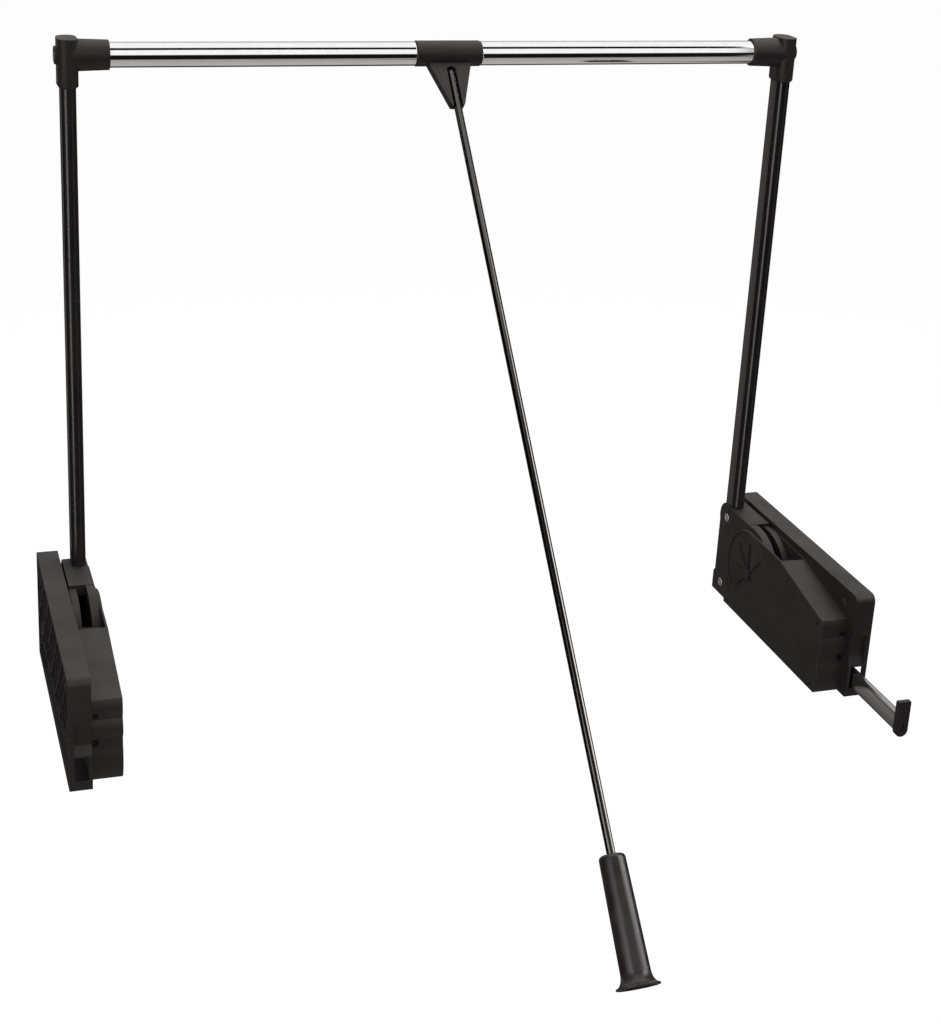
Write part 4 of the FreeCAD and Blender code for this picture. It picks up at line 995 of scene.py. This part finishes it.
@dataclass
class Surroundings:
    """Even white light, with the softboxes and black cards that bright metal mirrors.

    The cards are bands round the X axis. Their angle is measured in degrees from the horizon in front,
    up over the object to the back.

    Attributes:
        low_back_dark: Colour of the card low behind, where x is near 0.
        low_back_pale: Its colour further aside.
        low_back_reach: Sizes of x between which the first gives way to the second.
        strip_reach: Sizes of x between which the bands give way to the strips and the high cards.
        strip_normal: The strips are bright near the plane a |x| + b y + c z = 0.
        strip_tone: Their colour.
        strip_width: Distances from that plane between which they go dark.
        strip_fade: Heights between which they end above the horizon.
        left_level: How brightly the left strip glows.
        right_level: How brightly the right strip glows.
        dark_level: How brightly the dark beside the strips glows.
        left_card: High card on the left in front, for the grip.
        right_card: High card on the right, overhead, for the rod.
        middle: Values of x between which left turns into right.
        soft_height: Heights between which the light on matte surfaces rises.
        soft_level: Its level there.
    """

    low_back_dark: str = "#1f1c1b"
    low_back_pale: str = "#b0a9a5"
    low_back_reach: tuple[float, float] = (0.15, 0.38)
    strip_reach: tuple[float, float] = (0.54, 0.62)
    strip_normal: tuple[float, float, float] = (0.45, 0.69, -0.566)
    strip_tone: str = "#fff8f2"
    strip_width: tuple[float, float] = (0.07, 0.17)
    strip_fade: tuple[float, float] = (0.0, 0.12)
    left_level: float = 5.0
    right_level: float = 0.5
    dark_level: float = 0.02
    left_card: Card = Card(32.0, 60.0, 2.8)
    right_card: Card = Card(59.0, 82.0, 7.0)
    middle: tuple[float, float] = (-0.1, 0.1)
    soft_height: tuple[float, float] = (-0.2, 1.0)
    soft_level: tuple[float, float] = (0.01, 0.4)

    def build(self) -> None:
        """Makes the world: white to the camera, mirrored cards, and soft light from above."""
        world = bpy.data.worlds.new("studio")
        bpy.context.scene.world = world
        world.use_nodes = True
        tree = world.node_tree
        tree.nodes.clear()
        way = add_node(tree, "ShaderNodeTexCoord").outputs["Generated"]
        parts = add_node(tree, "ShaderNodeSeparateXYZ", inputs={0: way})
        forward = compute(tree, "MULTIPLY", parts.outputs["Y"], -1.0)
        angle = compute(tree, "ARCTAN2", parts.outputs["Z"], forward)
        turn = remap(tree, angle, (-math.pi, math.pi))
        reach = compute(tree, "ABSOLUTE", parts.outputs["X"])
        high = add_node(tree, "ShaderNodeAddShader", inputs={
            0: self.strips(tree, reach, parts), 1: self.high_cards(tree, turn, parts)})
        bands = mix_colours(
            tree, remap(tree, reach, self.low_back_reach), ramp(tree, turn, self.bands(self.low_back_dark)),
            ramp(tree, turn, self.bands(self.low_back_pale)))
        mirrored = mix_shaders(
            tree, remap(tree, reach, self.strip_reach, soft=True), background(tree, bands), high.outputs[0])
        level = remap(tree, parts.outputs["Z"], self.soft_height, self.soft_level)
        path = add_node(tree, "ShaderNodeLightPath").outputs
        lit = mix_shaders(
            tree, path["Is Glossy Ray"], background(tree, linear(WHITE), level), mirrored)
        seen = mix_shaders(tree, path["Is Camera Ray"], lit, background(tree, linear(WHITE)))
        add_node(tree, "ShaderNodeOutputWorld", inputs={"Surface": seen})

    def strips(self, tree: Tree, reach: Socket, parts: bpy.types.Node) -> Socket:
        """Leaning strip softbox on each side, on dark.

        Args:
            tree: The world's node tree.
            reach: Size of the direction's x.
            parts: The direction's three numbers.

        Returns:
            The background's shader output.
        """
        flat = add_node(tree, "ShaderNodeCombineXYZ", inputs={
            "X": reach, "Y": parts.outputs["Y"], "Z": parts.outputs["Z"]})
        off = add_node(tree, "ShaderNodeVectorMath", {"operation": "DOT_PRODUCT"}, {
            0: flat.outputs[0], 1: self.strip_normal})
        near = compute(tree, "ABSOLUTE", off.outputs["Value"])
        level = remap(tree, parts.outputs["X"], self.middle, (self.left_level, self.right_level))
        glow = remap(tree, near, self.strip_width, (level, self.dark_level), soft=True)
        low = remap(tree, parts.outputs["Z"], self.strip_fade, (1.0, 0.0))
        return background(tree, linear(self.strip_tone), compute(tree, "MULTIPLY", glow, low))

    def high_cards(self, tree: Tree, turn: Socket, parts: bpy.types.Node) -> Socket:
        """White cards high up: on the left in front for the grip, on the right overhead for the rod.

        Args:
            tree: The world's node tree.
            turn: The band angle as a share of the full turn.
            parts: The direction's three numbers.

        Returns:
            The background's shader output.
        """
        left, right = self.left_card, self.right_card
        side = remap(tree, parts.outputs["X"], self.middle)
        both = mix_colours(tree, side, ramp(tree, turn, left.stops()), ramp(tree, turn, right.stops()))
        return background(tree, both, remap(tree, side, (0.0, 1.0), (left.level, right.level)))

    @staticmethod
    def bands(low_back: str) -> list[tuple[float, str]]:
        """Bands from below, up the front, over the object and down behind it.

        Args:
            low_back: Colour of the card low behind the object.

        Returns:
            Each stop's place, as a share of the full turn, and its colour.
        """
        degrees = [
            (-180, low_back), (-154, low_back),  # low behind
            (-142, "#2b2827"), (-120, "#2b2827"),  # dark card under the back
            (-112, "#b5b1ae"), (-95, "#b5b1ae"), (-40, "#a39f9c"),  # pale card under the front
            (-33, "#141211"), (3, "#141211"),  # black card up to the horizon in front
            (8, WHITE), (48, WHITE),  # softbox in front
            (52, "#0c0b0b"), (69, "#0c0b0b"),  # black card above it
            (73, "#fdfdfd"), (128, WHITE),  # softbox overhead
            (142, "#c9c8c7"), (172, "#c2c0bf"), (180, low_back)]  # wall behind
        return [(on_turn(angle), code) for angle, code in degrees]


@dataclass
class Camera:
    """The camera, turned by yaw, pitch and roll, with its optical axis above the picture's centre."""

    place_m: tuple[float, float, float] = (-0.1543, -1.6990, 0.9036)
    yaw_rad: float = 0.32944
    pitch_rad: float = 0.34087
    roll_rad: float = 0.05364
    lens_mm: float = 65.39
    sensor_mm: float = 36.0
    shift_y: float = -0.13
    clip_end: float = 60.0

    def build(self) -> None:
        """Makes the camera and sets how colours are shown."""
        data = bpy.data.cameras.new("camera")
        data.lens = self.lens_mm
        data.sensor_width = self.sensor_mm
        data.shift_y = self.shift_y
        data.clip_end = self.clip_end
        camera = bpy.data.objects.new("camera", data)
        turn = (Matrix.Rotation(-self.yaw_rad, 4, "Z")
                @ Matrix.Rotation(math.pi / 2 - self.pitch_rad, 4, "X")
                @ Matrix.Rotation(self.roll_rad, 4, "Z"))
        camera.matrix_world = Matrix.Translation(self.place_m) @ turn
        bpy.context.scene.collection.objects.link(camera)
        bpy.context.scene.camera = camera
        view = bpy.context.scene.view_settings
        view.view_transform = "Standard"


@dataclass
class Studio:
    """White room, soft lamps and the camera.

    One large lamp hangs overhead. The others are faint fills for faces that look left and forward.
    """

    lamps: tuple[Lamp, ...] = (
        Lamp("overhead", (0.8, 0.8, 2.1), (0.4, 0.0, 0.0), size=1.8, power=66.0),
        Lamp("side_fill", (-0.4, 0.75, 0.55), (0.4, 0.0, -0.3), size=0.8, power=1.4),
        Lamp("front_fill", (-0.37, -0.75, 0.0), (-0.37, 0.0, -0.3), size=0.5, power=1.6))

    def build(self) -> None:
        """Makes the floor, the world, the lamps and the camera."""
        Floor().build()
        Surroundings().build()
        centre = (Vector(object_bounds()[0]) + Vector(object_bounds()[1])) / 2
        for lamp in self.lamps:
            lamp.hang(centre)
        Camera().build()


def dress_nodes(finishes: Finishes) -> None:
    """Gives every CAD node the finish of its slot, or blackened steel for the cover and front screws and the swing
    pin, the ones that pieces replace included.
    """
    slots = {part["node"]: part["material_slot"] for part in frame["record"]["subparts"]}
    by_slot = finishes.by_slot()
    for name, piece in frame["nodes"].items():
        blackened = name.endswith(("cover_screws", "front_screws", "swing_pin"))
        piece.data.materials.clear()
        piece.data.materials.append(finishes.black_steel if blackened else by_slot[slots[name]])


def main() -> None:
    """Builds the pieces, the studio and the camera."""
    logging.basicConfig(level=logging.INFO, format="%(name)s: %(message)s")
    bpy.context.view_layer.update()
    finishes = Finishes()
    dress_nodes(finishes)
    for side in Side:
        SideUnit(side, finishes).build()
    PullRod(finishes).build()
    ValetBar(finishes).build()
    Studio().build()
    LOG.info("boxes written")


if __name__ == "__main__":
    main()
